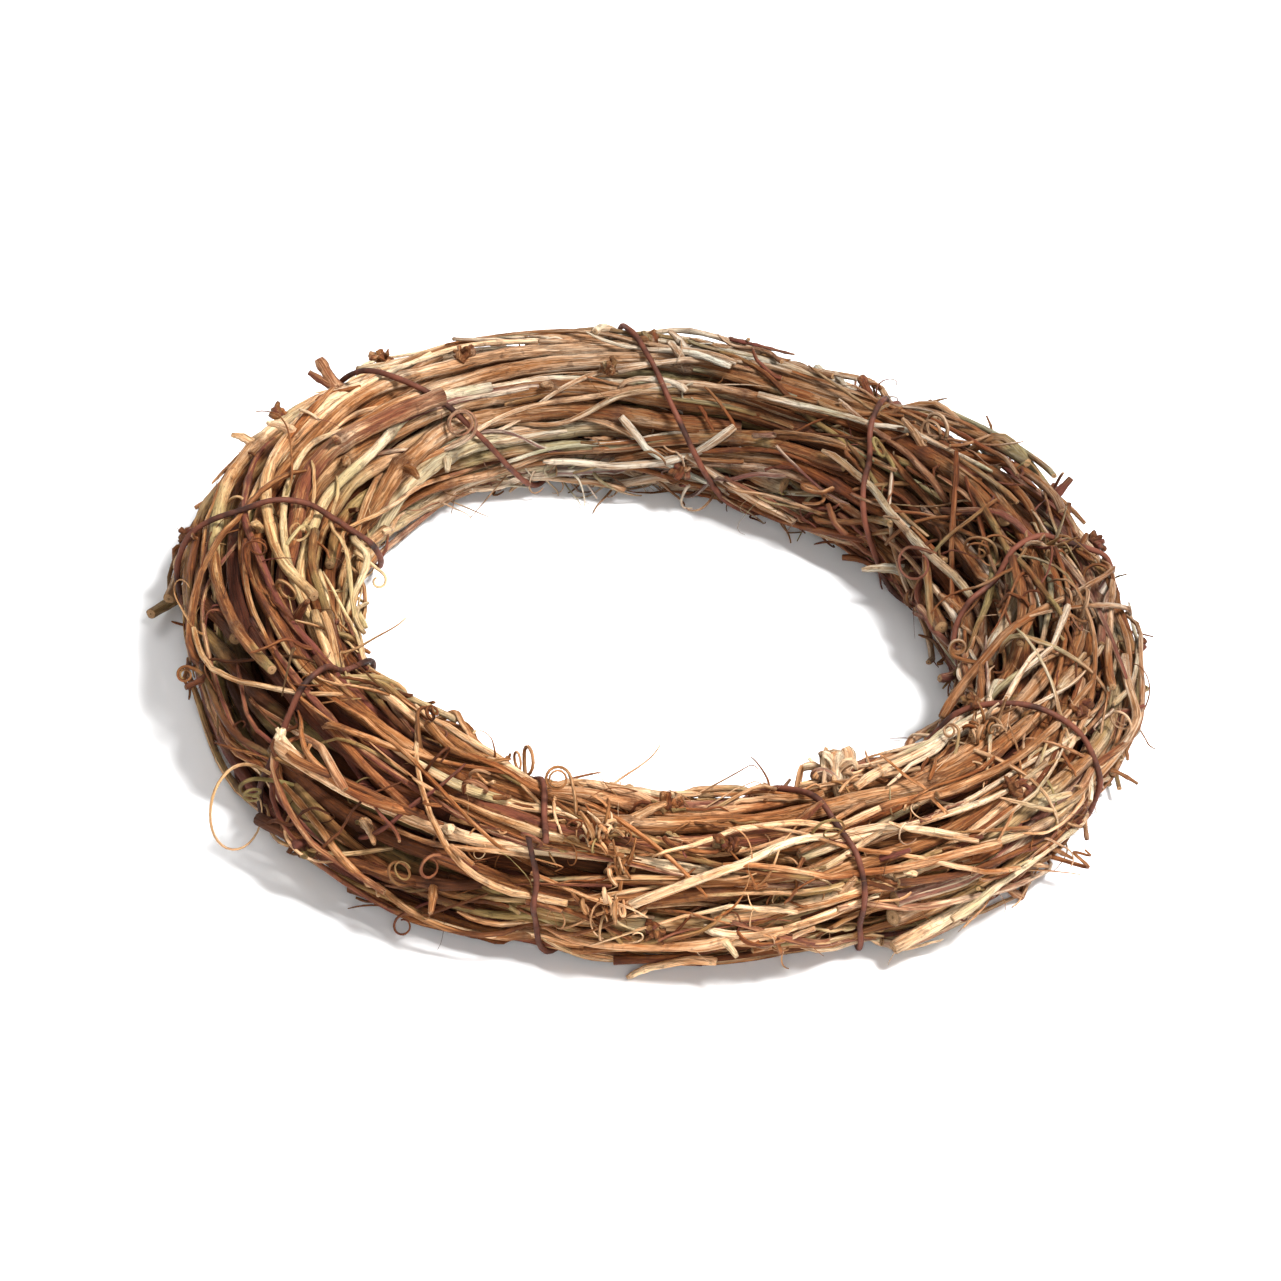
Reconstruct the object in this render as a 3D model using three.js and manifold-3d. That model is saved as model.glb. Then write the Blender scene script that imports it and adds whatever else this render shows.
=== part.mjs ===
// A small grapevine wreath, lying flat. Long dried canes are coiled round and round into a ring, shorter
// twigs are pushed in among them, and one thin dark tie is wound round the bundle to hold it together.
// Millimetres, +Z up. The wreath rests on z = 0, and the origin is the middle of its footprint.
import * as THREE from "three";
import { mergeVertices } from "three/addons/utils/BufferGeometryUtils.js";
import Module from "manifold-3d";

const wasm = await Module();
wasm.setup();

// Driving dimensions.
const RING_RADIUS = 53.5; // from the wreath's middle to the middle of the bundle
const RING_WOBBLE = [1, 0.7]; // how far that strays from a true circle, twice and three times round
const BUNDLE_RADIUS = 11.3; // of the bundle's round section
const BUNDLE_SWELL = [0.7, 0.5]; // how far that swells, twice and five times round
const FLOOR_DROP = 9.8; // the bundle is pressed flat this far under its middle, where it rests
const FLOOR_TRIM = 0.4; // what resting wears off the lowest canes, so that they lie on small flats
const FOOTPRINT_SHIFT = [1.59, 0.74]; // moves the ring's middle, so that the footprint is centred
const STATIONS = 32; // places round the ring where every stem's position is worked out
const CANE_COUNT = 20;
const CANE_LAPS = [1.4, 2.5]; // shortest and longest cane, in turns round the ring
const CANE_BUTT = [1.05, 1.5]; // radius at the thick end
const CANE_WIND = [-0.5, 0.7]; // turns round the bundle for each turn round the ring
const WANDER = [2.4, 0.5]; // how far a stem strays, in and out (mm) and round the bundle (radians)
const WANDER_WAVES = [1.4, 2.1]; // how often it does each, in a turn round the ring
const CANE_LIFT = 6; // how far an end may spring out of the bundle
const SPRING_DEPTH = 4; // an end deeper in the bundle than this doesn't spring out
const SPRING = 0.05; // how fast it does, in each round of settling
const TIED_STATIONS = 0.4; // how far beyond the wire an end still lies in the bundle
const TWIG_COUNT = 10;
const TWIG_LAPS = [0.16, 0.34];
const TWIG_BUTT = [0.8, 1.1];
const TWIG_WIND = [-0.9, 0.9];
const TWIG_LIFT = 8;
const FRONT_TWIGS = [
  { start: 20, laps: 0.15, bearing: 0.3, wind: 0.8, lifts: [9, 1] }, // with the heel, at the left
  { start: 25, laps: 0.2, bearing: -0.3, wind: 1.6, lifts: [4, 2] },
  { start: 27, laps: 0.25, bearing: -0.8, wind: 1.2, lifts: [4, 3] },
]; // the three that stand out at the front
const FRONT_TWIG_BUTT = 0.95;
const HEEL_HALF_LENGTH = 2.2; // of the heel, torn from an older stem, that one twig ends in
const HEEL_RADIUS = 0.85;
const TAPER = 0.68; // radius at the thin end, as a share of the thick end's
const STEM_SIDES = 5;
const CLEARANCE = 0.35; // between neighbours that lie against each other
const SETTLE_ROUNDS = 420;
const THIN_START = 0.1; // share of their thickness that the stems start settling with
const SWOLLEN_BY = 0.6; // share of the rounds after which they have it all
const STIFFNESS = 0.3; // how hard a stem straightens itself, at first
const STEP = 0.7; // share of a wanted move that is made in one round
const SAG_BELOW = -5; // stems this far under the bundle's middle sag onto the surface
const SAG = 0.06; // this far in each round of settling
const WRAPS = 9; // of the wire, in one turn round the ring
const WRAP_STEPS = 18; // along each wrap
const WRAP_BUNCHING = 0.9; // 1 would take each wrap square across the outside and step on only inside
const WRAP_INSIDE = (200 / 180) * Math.PI; // bearing in the section where a wrap steps on most
const WIRE_START = (262 / 180) * Math.PI; // where the first wrap starts, round the ring
const WIRE_RADIUS = 0.5;
const WIRE_GAP = -0.3; // from the taut line round the bundle to the wire's edge, before it is let out
const WIRE_CLEARANCE = 0.25; // between the wire and the stems under it
const WIRE_ROUNDS = 30; // of letting it out
const WIRE_LET_OUT = 0.05; // in each round
const TAUT_TRIES = 17; // directions on either side of a bearing in which the taut line is looked for
const WIRE_LOWEST = FLOOR_TRIM - FLOOR_DROP + WIRE_RADIUS + 0.1; // its middle, under the bundle
const WIRE_ROOM = FLOOR_TRIM + 2 * WIRE_RADIUS + 0.8; // that the stems leave under them for it
const WIRE_ROOM_REACH = [0.9, 1.5]; // all of it up to one, and none past the other, in stations
const WIRE_TAIL = 5; // length of the two ends, which stand out of the bundle
const WIRE_TAIL_APART = 1; // half of the gap between the two ends' tips
const WIRE_TAIL_BEARING = (50 / 180) * Math.PI; // side of the bundle where they stand out
const SHOOT_SPACING = 4; // stations between the joints of a stem, where shoots can grow
const SHOOTS_ABOVE = -3.4; // lowest height that one starts from, counted from the bundle's middle
const SURFACE_DEPTH = 1.2; // a joint nearer than this to the bundle's surface has room for one
const SHOOT_LENGTH = [2.5, 6];
const SHOOT_RADII = [0.75, 0.5]; // at its root and at its cut tip
const SHOOT_LEAN = [0.4, 1]; // radians, from straight out towards the way that its stem grows
const TENDRIL_CHANCE = 0.14; // of one at a joint that lies at the surface
const SHOOT_CHANCE = 0.85; // of either a tendril or a shoot there
const TENDRIL_RADIUS = 0.35;
const TENDRIL_COIL = [1.6, 2.8]; // radius of its curl
const TENDRIL_TIGHTENING = 0.45; // share of that radius that is lost by its end
const TENDRIL_TURNS = [1, 2];
const TENDRIL_STEPS = 18;
const TENDRIL_STALK = 3.2; // how far it runs outwards before it curls
const TENDRIL_STALK_SHARE = 0.25; // of its steps
const TENDRIL_PULL = 3.5; // how far the curl is drawn out sideways
const SEED = 20;

const TAU = 2 * Math.PI;
const GOLDEN_ANGLE = Math.PI * (3 - Math.sqrt(5));
const TINY = 1e-9; // keeps a division by a length from failing

// Random numbers from 0 to 1, the same on every run.
function randomFrom(seed) {
  let state = seed >>> 0;
  return () => {
    state = (Math.imul(state, 1664525) + 1013904223) >>> 0;
    return state / 4294967296;
  };
}

const between = ([low, high], share) => low + (high - low) * share;

// Where the wire passes, round the ring, on the side of the bundle that bearing gives. One wrap later it
// passes there again, a turn / WRAPS further on.
const wirePass = (bearing) =>
  WIRE_START - (bearing + WRAP_BUNCHING * Math.sin(bearing - WRAP_INSIDE)) / WRAPS;

// How far, in stations, an end of a stem runs on free beyond the last wrap that holds it. The end points
// up the ring's turn where way is 1, and down it where way is -1.
function freeStations(station, bearing, way) {
  const pitch = STATIONS / WRAPS;
  const beyond = way * (station - (wirePass(bearing) / TAU) * STATIONS);
  return beyond - pitch * Math.floor(beyond / pitch);
}

// One stem's first course through the bundle. At each station it has a place in the bundle's section, u
// outwards and v up from the bundle's middle. It wanders in and out and winds slowly round the bundle.
function stemCourse(random, { laps, butt, reach, bearing, wind, start, lifts }) {
  const count = Math.round(laps * STATIONS) + 1;
  const stem = { start, lifts, u: [], v: [], radius: [] };
  const [inAndOut, sideways] = [random() * TAU, random() * TAU];
  for (let k = 0; k < count; k++) {
    const turn = (TAU * k) / STATIONS;
    const out = Math.abs(reach + WANDER[0] * Math.sin(WANDER_WAVES[0] * turn + inAndOut));
    const angle = bearing + wind * turn + WANDER[1] * Math.sin(WANDER_WAVES[1] * turn + sideways);
    stem.u.push(out * Math.cos(angle));
    stem.v.push(out * Math.sin(angle));
    stem.radius.push(butt * (1 - (1 - TAPER) * (k / (count - 1))));
  }
  return stem;
}

function allStems(random) {
  const drawn = (laps, butt, wind, lift) => ({
    laps: between(laps, random()),
    butt: between(butt, random()),
    wind: between(wind, random()),
    start: Math.floor(random() * STATIONS),
    lifts: [lift * random(), lift * random()],
  });
  const canes = Array.from({ length: CANE_COUNT }, (_, i) => {
    const reach = (BUNDLE_RADIUS - 1.5) * Math.sqrt((i + 0.5) / CANE_COUNT);
    const own = drawn(CANE_LAPS, CANE_BUTT, CANE_WIND, CANE_LIFT);
    return stemCourse(random, { ...own, reach, bearing: i * GOLDEN_ANGLE });
  });
  const reach = BUNDLE_RADIUS - 1;
  const twigs = FRONT_TWIGS.map((own) =>
    stemCourse(random, { ...own, reach, butt: FRONT_TWIG_BUTT }),
  );
  for (let i = 0; i < TWIG_COUNT; i++) {
    const own = drawn(TWIG_LAPS, TWIG_BUTT, TWIG_WIND, TWIG_LIFT);
    twigs.push(stemCourse(random, { ...own, reach, bearing: i * GOLDEN_ANGLE }));
  }
  canes.forEach((stem, i) => (stem.name = `cane_${i + 1}`));
  twigs.forEach((stem, i) => (stem.name = `twig_${i + 1}`));
  return [...canes, ...twigs];
}

// How thick the bundle is at a station, which is not the same all round.
function bundleRadius(station) {
  const angle = (TAU * station) / STATIONS;
  return BUNDLE_RADIUS + BUNDLE_SWELL[0] * Math.sin(2 * angle + 1) + BUNDLE_SWELL[1] * Math.sin(5 * angle);
}

// How low the underside of the bundle may hang at a station. It is drawn up where the wire passes under it.
function floorAt(station) {
  const under = (wirePass(1.5 * Math.PI) / TAU) * STATIONS;
  const pitch = STATIONS / WRAPS;
  const off = station - under - pitch * Math.round((station - under) / pitch);
  const share = (WIRE_ROOM_REACH[1] - Math.abs(off)) / (WIRE_ROOM_REACH[1] - WIRE_ROOM_REACH[0]);
  return WIRE_ROOM * Math.min(1, Math.max(0, share)) - FLOOR_DROP;
}

// Settles the bundle. The stems start thin and swell to their full thickness, and any two that come too close
// push each other apart where they pass, so they end up woven over and under and never through each other.
// Each stem also straightens itself, and stays inside the bundle and above the surface that it rests on.
function settle(stems) {
  const u = [], v = [], radius = [], bundle = [], floor = [], first = [];
  const spans = Array.from({ length: STATIONS }, () => []);
  for (const stem of stems) {
    const [start, tip] = [u.length, u.length + stem.u.length - 1];
    first.push(start);
    for (let k = start - 1; k <= tip; k++) {
      const span = spans[(stem.start + k - start + STATIONS) % STATIONS];
      span.push([Math.max(k, start), Math.min(k + 1, tip)]);
    }
    stem.u.forEach((_, k) => {
      u.push(stem.u[k]);
      v.push(stem.v[k]);
      radius.push(stem.radius[k]);
      bundle.push(bundleRadius(stem.start + k));
      floor.push(floorAt(stem.start + k));
    });
  }
  first.push(u.length);
  const pairs = spans.flatMap((span) =>
    span.flatMap((one, i) => span.slice(i + 1).map((other) => [...one, ...other])),
  );
  // How two stems, one going from a to a2 and the other from b to b2, pass each other between one station
  // and the next: the gap's way from the other to the one, where they are nearest.
  const passing = ([a, a2, b, b2]) => {
    const [fromU, fromV] = [u[a] - u[b], v[a] - v[b]];
    const [alongU, alongV] = [u[a2] - u[b2] - fromU, v[a2] - v[b2] - fromV];
    const nearest = -(fromU * alongU + fromV * alongV) / (alongU ** 2 + alongV ** 2 + TINY);
    const share = Math.min(1, Math.max(0, nearest));
    const [gapU, gapV] = [fromU + share * alongU, fromV + share * alongV];
    return { share, gapU, gapV, gap: Math.hypot(gapU, gapV) + TINY };
  };
  // How far each station may stand out of the bundle, which only the free ends do.
  const raised = new Float64Array(u.length);
  const freeEnds = () => {
    raised.fill(0);
    stems.forEach((stem, s) => {
      [first[s], first[s + 1] - 1].forEach((tip, end) => {
        const way = 2 * end - 1;
        const station = stem.start + tip - first[s];
        const free = freeStations(station, Math.atan2(v[tip], u[tip]), way) - TIED_STATIONS;
        for (let left = 0; left < free && left < stem.u.length; left++) {
          const run = (WRAPS * (free - left)) / STATIONS;
          raised[tip - way * left] = Math.max(raised[tip - way * left], stem.lifts[end] * run ** 1.5);
        }
      });
    });
  };
  for (let round = 0; round < SETTLE_ROUNDS; round++) {
    const swelling = round / (SWOLLEN_BY * SETTLE_ROUNDS);
    if (swelling < 1) freeEnds();
    const grown = Math.min(1, THIN_START + (1 - THIN_START) * swelling);
    const du = new Float64Array(u.length), dv = new Float64Array(u.length);
    for (const pair of pairs) {
      const [a, a2, b, b2] = pair;
      const { share, gapU, gapV, gap } = passing(pair);
      const wanted = grown * (radius[a] + radius[b] + CLEARANCE);
      if (gap >= wanted) continue;
      const push = (0.5 * (wanted - gap)) / gap / ((1 - share) ** 2 + share ** 2);
      for (const [k, weight] of [[a, 1 - share], [a2, share], [b, share - 1], [b2, -share]]) {
        du[k] += gapU * push * weight;
        dv[k] += gapV * push * weight;
      }
    }
    const straighten = STIFFNESS * (1 - round / SETTLE_ROUNDS);
    for (let s = 0; s < stems.length; s++) {
      for (let k = first[s] + 1; k < first[s + 1] - 1; k++) {
        du[k] += straighten * ((u[k - 1] + u[k + 1]) / 2 - u[k]);
        dv[k] += straighten * ((v[k - 1] + v[k + 1]) / 2 - v[k]);
      }
    }
    for (let k = 0; k < u.length; k++) {
      u[k] += STEP * du[k];
      v[k] += STEP * dv[k] - (v[k] < SAG_BELOW ? SAG : 0);
      const out = Math.hypot(u[k], v[k]) + TINY;
      const sprung = out > bundle[k] - SPRING_DEPTH ? out + SPRING * raised[k] : out;
      const fitted = Math.min(sprung, bundle[k] + raised[k] - radius[k]);
      u[k] *= fitted / out;
      v[k] *= fitted / out;
      v[k] = Math.max(v[k], radius[k] + floor[k]);
    }
  }
  // Where two still press on each other, both are pinched a little.
  const pinch = u.map(() => 1);
  for (const pair of pairs) {
    const [a, a2, b, b2] = pair;
    const thickness = Math.max(radius[a] + radius[b], radius[a2] + radius[b2]);
    const fitting = (passing(pair).gap - CLEARANCE) / thickness;
    for (const k of pair) pinch[k] = Math.min(pinch[k], fitting);
  }
  stems.forEach((stem, s) => {
    stem.u = u.slice(first[s], first[s + 1]);
    stem.v = v.slice(first[s], first[s + 1]);
    stem.radius = stem.radius.map((own, k) => own * pinch[first[s] + k]);
  });
  return stems;
}

// A point of the bundle's section, at an angle round the ring, in the wreath's own frame.
function place(angle, u, v) {
  const wobble = RING_WOBBLE[0] * Math.cos(2 * angle + 0.5) + RING_WOBBLE[1] * Math.cos(3 * angle);
  const ring = RING_RADIUS + wobble;
  return new THREE.Vector3(
    FOOTPRINT_SHIFT[0] + (ring + u) * Math.cos(angle),
    FOOTPRINT_SHIFT[1] + (ring + u) * Math.sin(angle),
    FLOOR_DROP - FLOOR_TRIM + v,
  );
}

// A smooth curve through points. Equal steps along it are equal shares of its points, so a tube along it
// has its sections at the points themselves.
class PointwiseCurve extends THREE.CatmullRomCurve3 {
  constructor(points) {
    super(points, false, "catmullrom", 0.5);
  }

  getUtoTmapping(share) {
    return share;
  }
}

function stemCurve(stem) {
  return new PointwiseCurve(
    stem.u.map((u, k) => place((TAU * (stem.start + k)) / STATIONS, u, stem.v[k])),
  );
}

// The section's taut outline at an angle round the ring, as the least distance from the bundle's middle, on
// a bearing, of a tight line round every stem there and clear of it by margin. Ends that have sprung out
// count as if they hadn't, because the wire goes round where they are held.
function tautReach(stems, angle, bearing, margin) {
  const station = ((angle / TAU) * STATIONS + 8 * STATIONS) % STATIONS;
  const discs = [];
  for (const stem of stems) {
    const from = (station - stem.start + STATIONS) % STATIONS;
    for (let k = from; k <= stem.u.length - 1; k += STATIONS) {
      const at = Math.min(Math.floor(k), stem.u.length - 2);
      const share = k - at;
      const radius = between([stem.radius[at], stem.radius[at + 1]], share);
      const u = between([stem.u[at], stem.u[at + 1]], share);
      const v = between([stem.v[at], stem.v[at + 1]], share);
      const held = Math.min(1, (bundleRadius(station) - radius) / Math.hypot(u, v));
      discs.push([held * u, held * v, radius + margin]);
    }
  }
  let least = Infinity;
  for (let i = -TAUT_TRIES; i <= TAUT_TRIES; i++) {
    const lean = (i * TAU) / (4 * TAUT_TRIES + 4);
    const [c, s] = [Math.cos(bearing + lean), Math.sin(bearing + lean)];
    const furthest = Math.max(...discs.map(([u, v, radius]) => u * c + v * s + radius));
    least = Math.min(least, furthest / Math.cos(lean));
  }
  return least;
}

// What a wire, shoot or tendril has to stay clear of: the straight pieces between a stem's stations.
function rodsAlong(points, radii, owner) {
  return points.slice(1).map((to, i) => ({
    owner,
    line: new THREE.Line3(points[i], to),
    radius: Math.max(radii[i], radii[i + 1]),
  }));
}

const nearest = new THREE.Vector3();
const isClear = (point, room, rods, owner) =>
  rods.every(
    (rod) =>
      rod.owner === owner ||
      rod.line.closestPointToPoint(point, true, nearest).distanceTo(point) > rod.radius + room,
  );

// The wire's course. It winds round the bundle WRAPS times in one turn round the ring, taut over the stems,
// and its two ends meet there and stand out side by side. It starts on the taut line, or a little inside
// it, and is let out wherever a stem is in its way.
function wireCurve(stems, rods) {
  const last = WRAPS * WRAP_STEPS;
  const bearingAt = (i) => (TAU * i) / WRAP_STEPS + WIRE_TAIL_BEARING;
  const tautAt = (i) => tautReach(stems, wirePass(bearingAt(i)), bearingAt(i), WIRE_RADIUS + WIRE_GAP);
  const tailAt = (i) => (i === last) - (i === 0);
  const reach = Array.from(
    { length: last + 1 },
    (_, i) => Math.max(tautAt(i - 0.5), tautAt(i), tautAt(i + 0.5)) + tailAt(i) ** 2 * WIRE_TAIL,
  );
  const pointAt = (i) =>
    place(
      wirePass(bearingAt(i)) - (tailAt(i) * WIRE_TAIL_APART) / RING_RADIUS,
      reach[i] * Math.cos(bearingAt(i)),
      Math.max(reach[i] * Math.sin(bearingAt(i)), WIRE_LOWEST),
    );
  for (let round = 0; round < WIRE_ROUNDS; round++) {
    for (let i = 0; i < last; i++) {
      const [from, to] = [pointAt(i), pointAt(i + 1)];
      const spots = [0, 0.25, 0.5, 0.75, 1].map((share) => from.clone().lerp(to, share));
      if (spots.every((spot) => isClear(spot, WIRE_RADIUS + WIRE_CLEARANCE, rods))) continue;
      reach[i] += WIRE_LET_OUT;
      reach[i + 1] += WIRE_LET_OUT;
    }
  }
  return new PointwiseCurve(reach.map((_, i) => pointAt(i)));
}

// A round stem along a curve, with flat cut ends. It has a radius at each of the curve's points.
function stemGeometry(curve, sides, radii) {
  const steps = curve.points.length - 1;
  const corners = Array.from({ length: sides }, (_, i) => {
    const angle = (TAU * i) / sides;
    return new THREE.Vector2(Math.cos(angle), Math.sin(angle));
  });
  const geometry = new THREE.ExtrudeGeometry(new THREE.Shape(corners), {
    steps,
    bevelEnabled: false,
    extrudePath: curve,
  });
  const middles = curve.points;
  const position = geometry.getAttribute("position");
  const corner = new THREE.Vector3();
  for (let i = 0; i < position.count; i++) {
    corner.fromBufferAttribute(position, i);
    let own = 0;
    middles.forEach((middle, s) => {
      if (middle.distanceToSquared(corner) < middles[own].distanceToSquared(corner)) own = s;
    });
    corner.sub(middles[own]).multiplyScalar(radii[own]).add(middles[own]);
    position.setXYZ(i, corner.x, corner.y, corner.z);
  }
  return geometry;
}

function solidOf(geometry) {
  const bare = new THREE.BufferGeometry();
  bare.setAttribute("position", geometry.getAttribute("position")).setIndex(geometry.getIndex());
  const merged = mergeVertices(bare, 1e-4);
  return new wasm.Manifold(
    new wasm.Mesh({
      numProp: 3,
      vertProperties: merged.attributes.position.array,
      triVerts: new Uint32Array(merged.index.array),
    }),
  );
}

function geometryOf(solid) {
  const { vertProperties, triVerts } = solid.getMesh();
  return new THREE.BufferGeometry()
    .setAttribute("position", new THREE.BufferAttribute(vertProperties, 3))
    .setIndex(new THREE.BufferAttribute(triVerts, 1));
}

// The joints of a stem where it lies at the bundle's surface, on top or at a side, so that something can
// grow outwards there. Each gives its middle, the way out of the bundle and the way on along the stem.
function surfaceJoints(stem) {
  const joints = [];
  for (let k = 2; k < stem.u.length - 2; k += SHOOT_SPACING) {
    const [u, v] = [stem.u[k], stem.v[k]];
    const out = Math.hypot(u, v);
    if (out + stem.radius[k] < BUNDLE_RADIUS - SURFACE_DEPTH || v < SHOOTS_ABOVE) continue;
    const angle = (TAU * (stem.start + k)) / STATIONS;
    const middle = place(angle, u, v);
    joints.push({
      middle,
      outward: place(angle, u + u / out, v + v / out).sub(middle),
      onward: new THREE.Vector3(-Math.sin(angle), Math.cos(angle), 0),
    });
  }
  return joints;
}

// A short cut-off side shoot, leaning the way that its stem grows.
function shootPoints({ middle, outward, onward }, length, lean) {
  const way = outward.clone().multiplyScalar(Math.cos(lean)).addScaledVector(onward, Math.sin(lean));
  return [0, 1].map((share) => middle.clone().addScaledVector(way, share * length));
}

// A dried tendril. It leaves its stem outwards and then curls up in a small coil.
function tendrilPoints({ middle, outward, onward }, coil, turns) {
  const across = outward.clone().cross(onward);
  return Array.from({ length: TENDRIL_STEPS + 1 }, (_, i) => {
    const share = i / TENDRIL_STEPS;
    const straight = Math.min(1, share / TENDRIL_STALK_SHARE);
    const turn = TAU * turns * Math.max(0, (share - TENDRIL_STALK_SHARE) / (1 - TENDRIL_STALK_SHARE));
    const tight = coil * (1 - TENDRIL_TIGHTENING * share);
    return middle
      .clone()
      .addScaledVector(outward, TENDRIL_STALK * straight + tight * Math.sin(turn))
      .addScaledVector(onward, tight * (1 - Math.cos(turn)))
      .addScaledVector(across, TENDRIL_PULL * share ** 2);
  });
}

// The heel across a stem's first end, upright.
function heelPoints({ curve }) {
  return [-HEEL_HALF_LENGTH, HEEL_HALF_LENGTH].map((up) =>
    curve.points[0].clone().add(new THREE.Vector3(0, 0, up)),
  );
}

const bark = new THREE.MeshStandardMaterial({ color: 0xb0703a, roughness: 0.8, metalness: 0 });
const twigBark = new THREE.MeshStandardMaterial({ color: 0x6d4129, roughness: 0.85, metalness: 0 });
const darkWire = new THREE.MeshStandardMaterial({ color: 0x2a1c18, roughness: 0.6, metalness: 0.3 });

const random = randomFrom(SEED);
const stems = settle(allStems(random));
for (const stem of stems) {
  stem.curve = stemCurve(stem);
  stem.solid = solidOf(stemGeometry(stem.curve, STEM_SIDES, stem.radius));
}
const rods = stems.flatMap((stem) => rodsAlong(stem.curve.points, stem.radius, stem));
const wire = wireCurve(stems, rods);
const wireRadii = wire.points.map(() => WIRE_RADIUS);
rods.push(...rodsAlong(wire.points, wireRadii, wire));

// Grows something round along points out of a stem, if nothing is in its way.
function grow(stem, points, radii, sides) {
  const curve = new PointwiseCurve(points);
  const room = radii[0] + CLEARANCE;
  if (!curve.getPoints(16).every((spot) => isClear(spot, room, rods, stem))) return;
  stem.solid = stem.solid.add(solidOf(stemGeometry(curve, sides, radii)));
  rods.push(...rodsAlong(points, radii, stem));
}

const heeled = stems.find((stem) => stem.name === "twig_1");
grow(heeled, heelPoints(heeled), [HEEL_RADIUS, HEEL_RADIUS], 4);
for (const stem of stems) {
  for (const joint of surfaceJoints(stem)) {
    const [choice, size, lean] = [random(), random(), random()];
    if (choice < TENDRIL_CHANCE) {
      const points = tendrilPoints(joint, between(TENDRIL_COIL, size), between(TENDRIL_TURNS, lean));
      grow(stem, points, points.map(() => TENDRIL_RADIUS), 3);
    } else if (choice < SHOOT_CHANCE) {
      const length = stem.radius[0] + between(SHOOT_LENGTH, size);
      const points = shootPoints(joint, length, between(SHOOT_LEAN, lean));
      grow(stem, points, SHOOT_RADII, 4);
    }
  }
}

// The surface that the wreath rests on takes a small flat off whatever is lowest.
const slab = new THREE.BoxGeometry(4 * RING_RADIUS, 4 * RING_RADIUS, 10).translate(0, 0, -5);
const underFloor = solidOf(slab);

const wreath = new THREE.Group();
function addPart(name, solid, material) {
  const mesh = new THREE.Mesh(geometryOf(solid.subtract(underFloor)), material);
  mesh.name = name;
  wreath.add(mesh);
}

stems.forEach((stem) =>
  addPart(stem.name, stem.solid, stem.name.startsWith("cane") ? bark : twigBark),
);
addPart("binding_wire", solidOf(stemGeometry(wire, 4, wireRadii)), darkWire);

export default wreath;
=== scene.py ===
"""Dresses the small grapevine wreath.

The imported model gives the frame. The stems of the wreath are worked out again here by the rule that made
its solids, and each solid is replaced by a finer piece of the same form: a stem with swollen joints, ridges
and cut ends, with the shoots and tendrils that grow on it. Thin stems, curly tendrils, stubs, torn knobs,
peeling bark and loose fibres are then added on the bundle. Lengths are millimetres until a mesh is made. A
place in a table is in degrees round the ring, degrees round the bundle and how far out of its middle.
"""

from __future__ import annotations

import logging
import math
from collections.abc import Sequence
from dataclasses import dataclass, field
from enum import Enum

import bpy
import numpy as np
from mathutils import Matrix, Vector

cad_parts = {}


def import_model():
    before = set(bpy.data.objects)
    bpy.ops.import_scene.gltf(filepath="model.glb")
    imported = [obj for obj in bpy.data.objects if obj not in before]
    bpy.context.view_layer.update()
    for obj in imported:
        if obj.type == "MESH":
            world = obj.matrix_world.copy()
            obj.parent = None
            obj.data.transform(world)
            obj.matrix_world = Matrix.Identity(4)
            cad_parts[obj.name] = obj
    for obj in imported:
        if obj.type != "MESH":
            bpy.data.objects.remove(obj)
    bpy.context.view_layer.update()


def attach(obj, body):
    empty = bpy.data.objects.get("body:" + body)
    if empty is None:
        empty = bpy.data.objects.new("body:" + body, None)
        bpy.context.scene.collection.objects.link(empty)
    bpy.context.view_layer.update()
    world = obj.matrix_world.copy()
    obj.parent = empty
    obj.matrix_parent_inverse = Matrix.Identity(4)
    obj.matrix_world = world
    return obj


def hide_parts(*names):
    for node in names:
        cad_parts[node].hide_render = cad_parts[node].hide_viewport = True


Array = np.ndarray
Socket = bpy.types.NodeSocket
Material = bpy.types.Material
Colour = tuple[float, float, float]
Span = tuple[float, float]

log = logging.getLogger("wreath")

TAU = 2 * math.pi
GOLDEN_ANGLE = math.pi * (3 - math.sqrt(5))
TINY = 1e-9
MILLIMETRE = 0.001
UP = np.array([0, 0, 1.0])
SEED = 7
THIN_STEMS = 84
PATTERN = 4000  # each tube starts somewhere in this length of the bark's pattern
AS_DRAWN = math.nan  # in a table, what the random numbers decide


def unit(vectors: Array) -> Array:
    """Returns vectors, which are along the last axis, scaled to length one."""
    return vectors / (np.linalg.norm(vectors, axis=-1, keepdims=True) + TINY)


def between(limits: Span, share: float | Array) -> float | Array:
    """Returns the value at a share of the way from the lower limit to the upper one."""
    return limits[0] + (limits[1] - limits[0]) * share


def smooth_course(points: Array, steps: int) -> Array:
    """Runs a smooth curve through points.

    Each span is the cubic whose slope at either end is half the way from the point before to the point
    after. Past the ends the row of points is carried on straight.

    Args:
        points: The points, n by any number of coordinates.
        steps: How many equal steps each span is cut into.

    Returns:
        The curve's points, (n - 1) * steps + 1 of them.
    """
    padded = np.concatenate([2 * points[:1] - points[1:2], points, 2 * points[-1:] - points[-2:-1]])
    share = (np.arange(steps) / steps)[None, :, None]
    before, start, end, after = (padded[i : len(padded) - 3 + i, None] for i in range(4))
    slope, next_slope = (end - before) / 2, (after - start) / 2
    bend = -3 * start + 3 * end - 2 * slope - next_slope
    twist = 2 * start - 2 * end + slope + next_slope
    spans = start + share * (slope + share * (bend + share * twist))
    return np.concatenate([spans.reshape(-1, points.shape[1]), points[-1:]])


def bump(places: Array, middle: float | Array, width: float) -> Array:
    """Returns exp(-((x - middle) / width)^2) at places x."""
    return np.exp(-(((places - middle) / width) ** 2))


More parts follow.
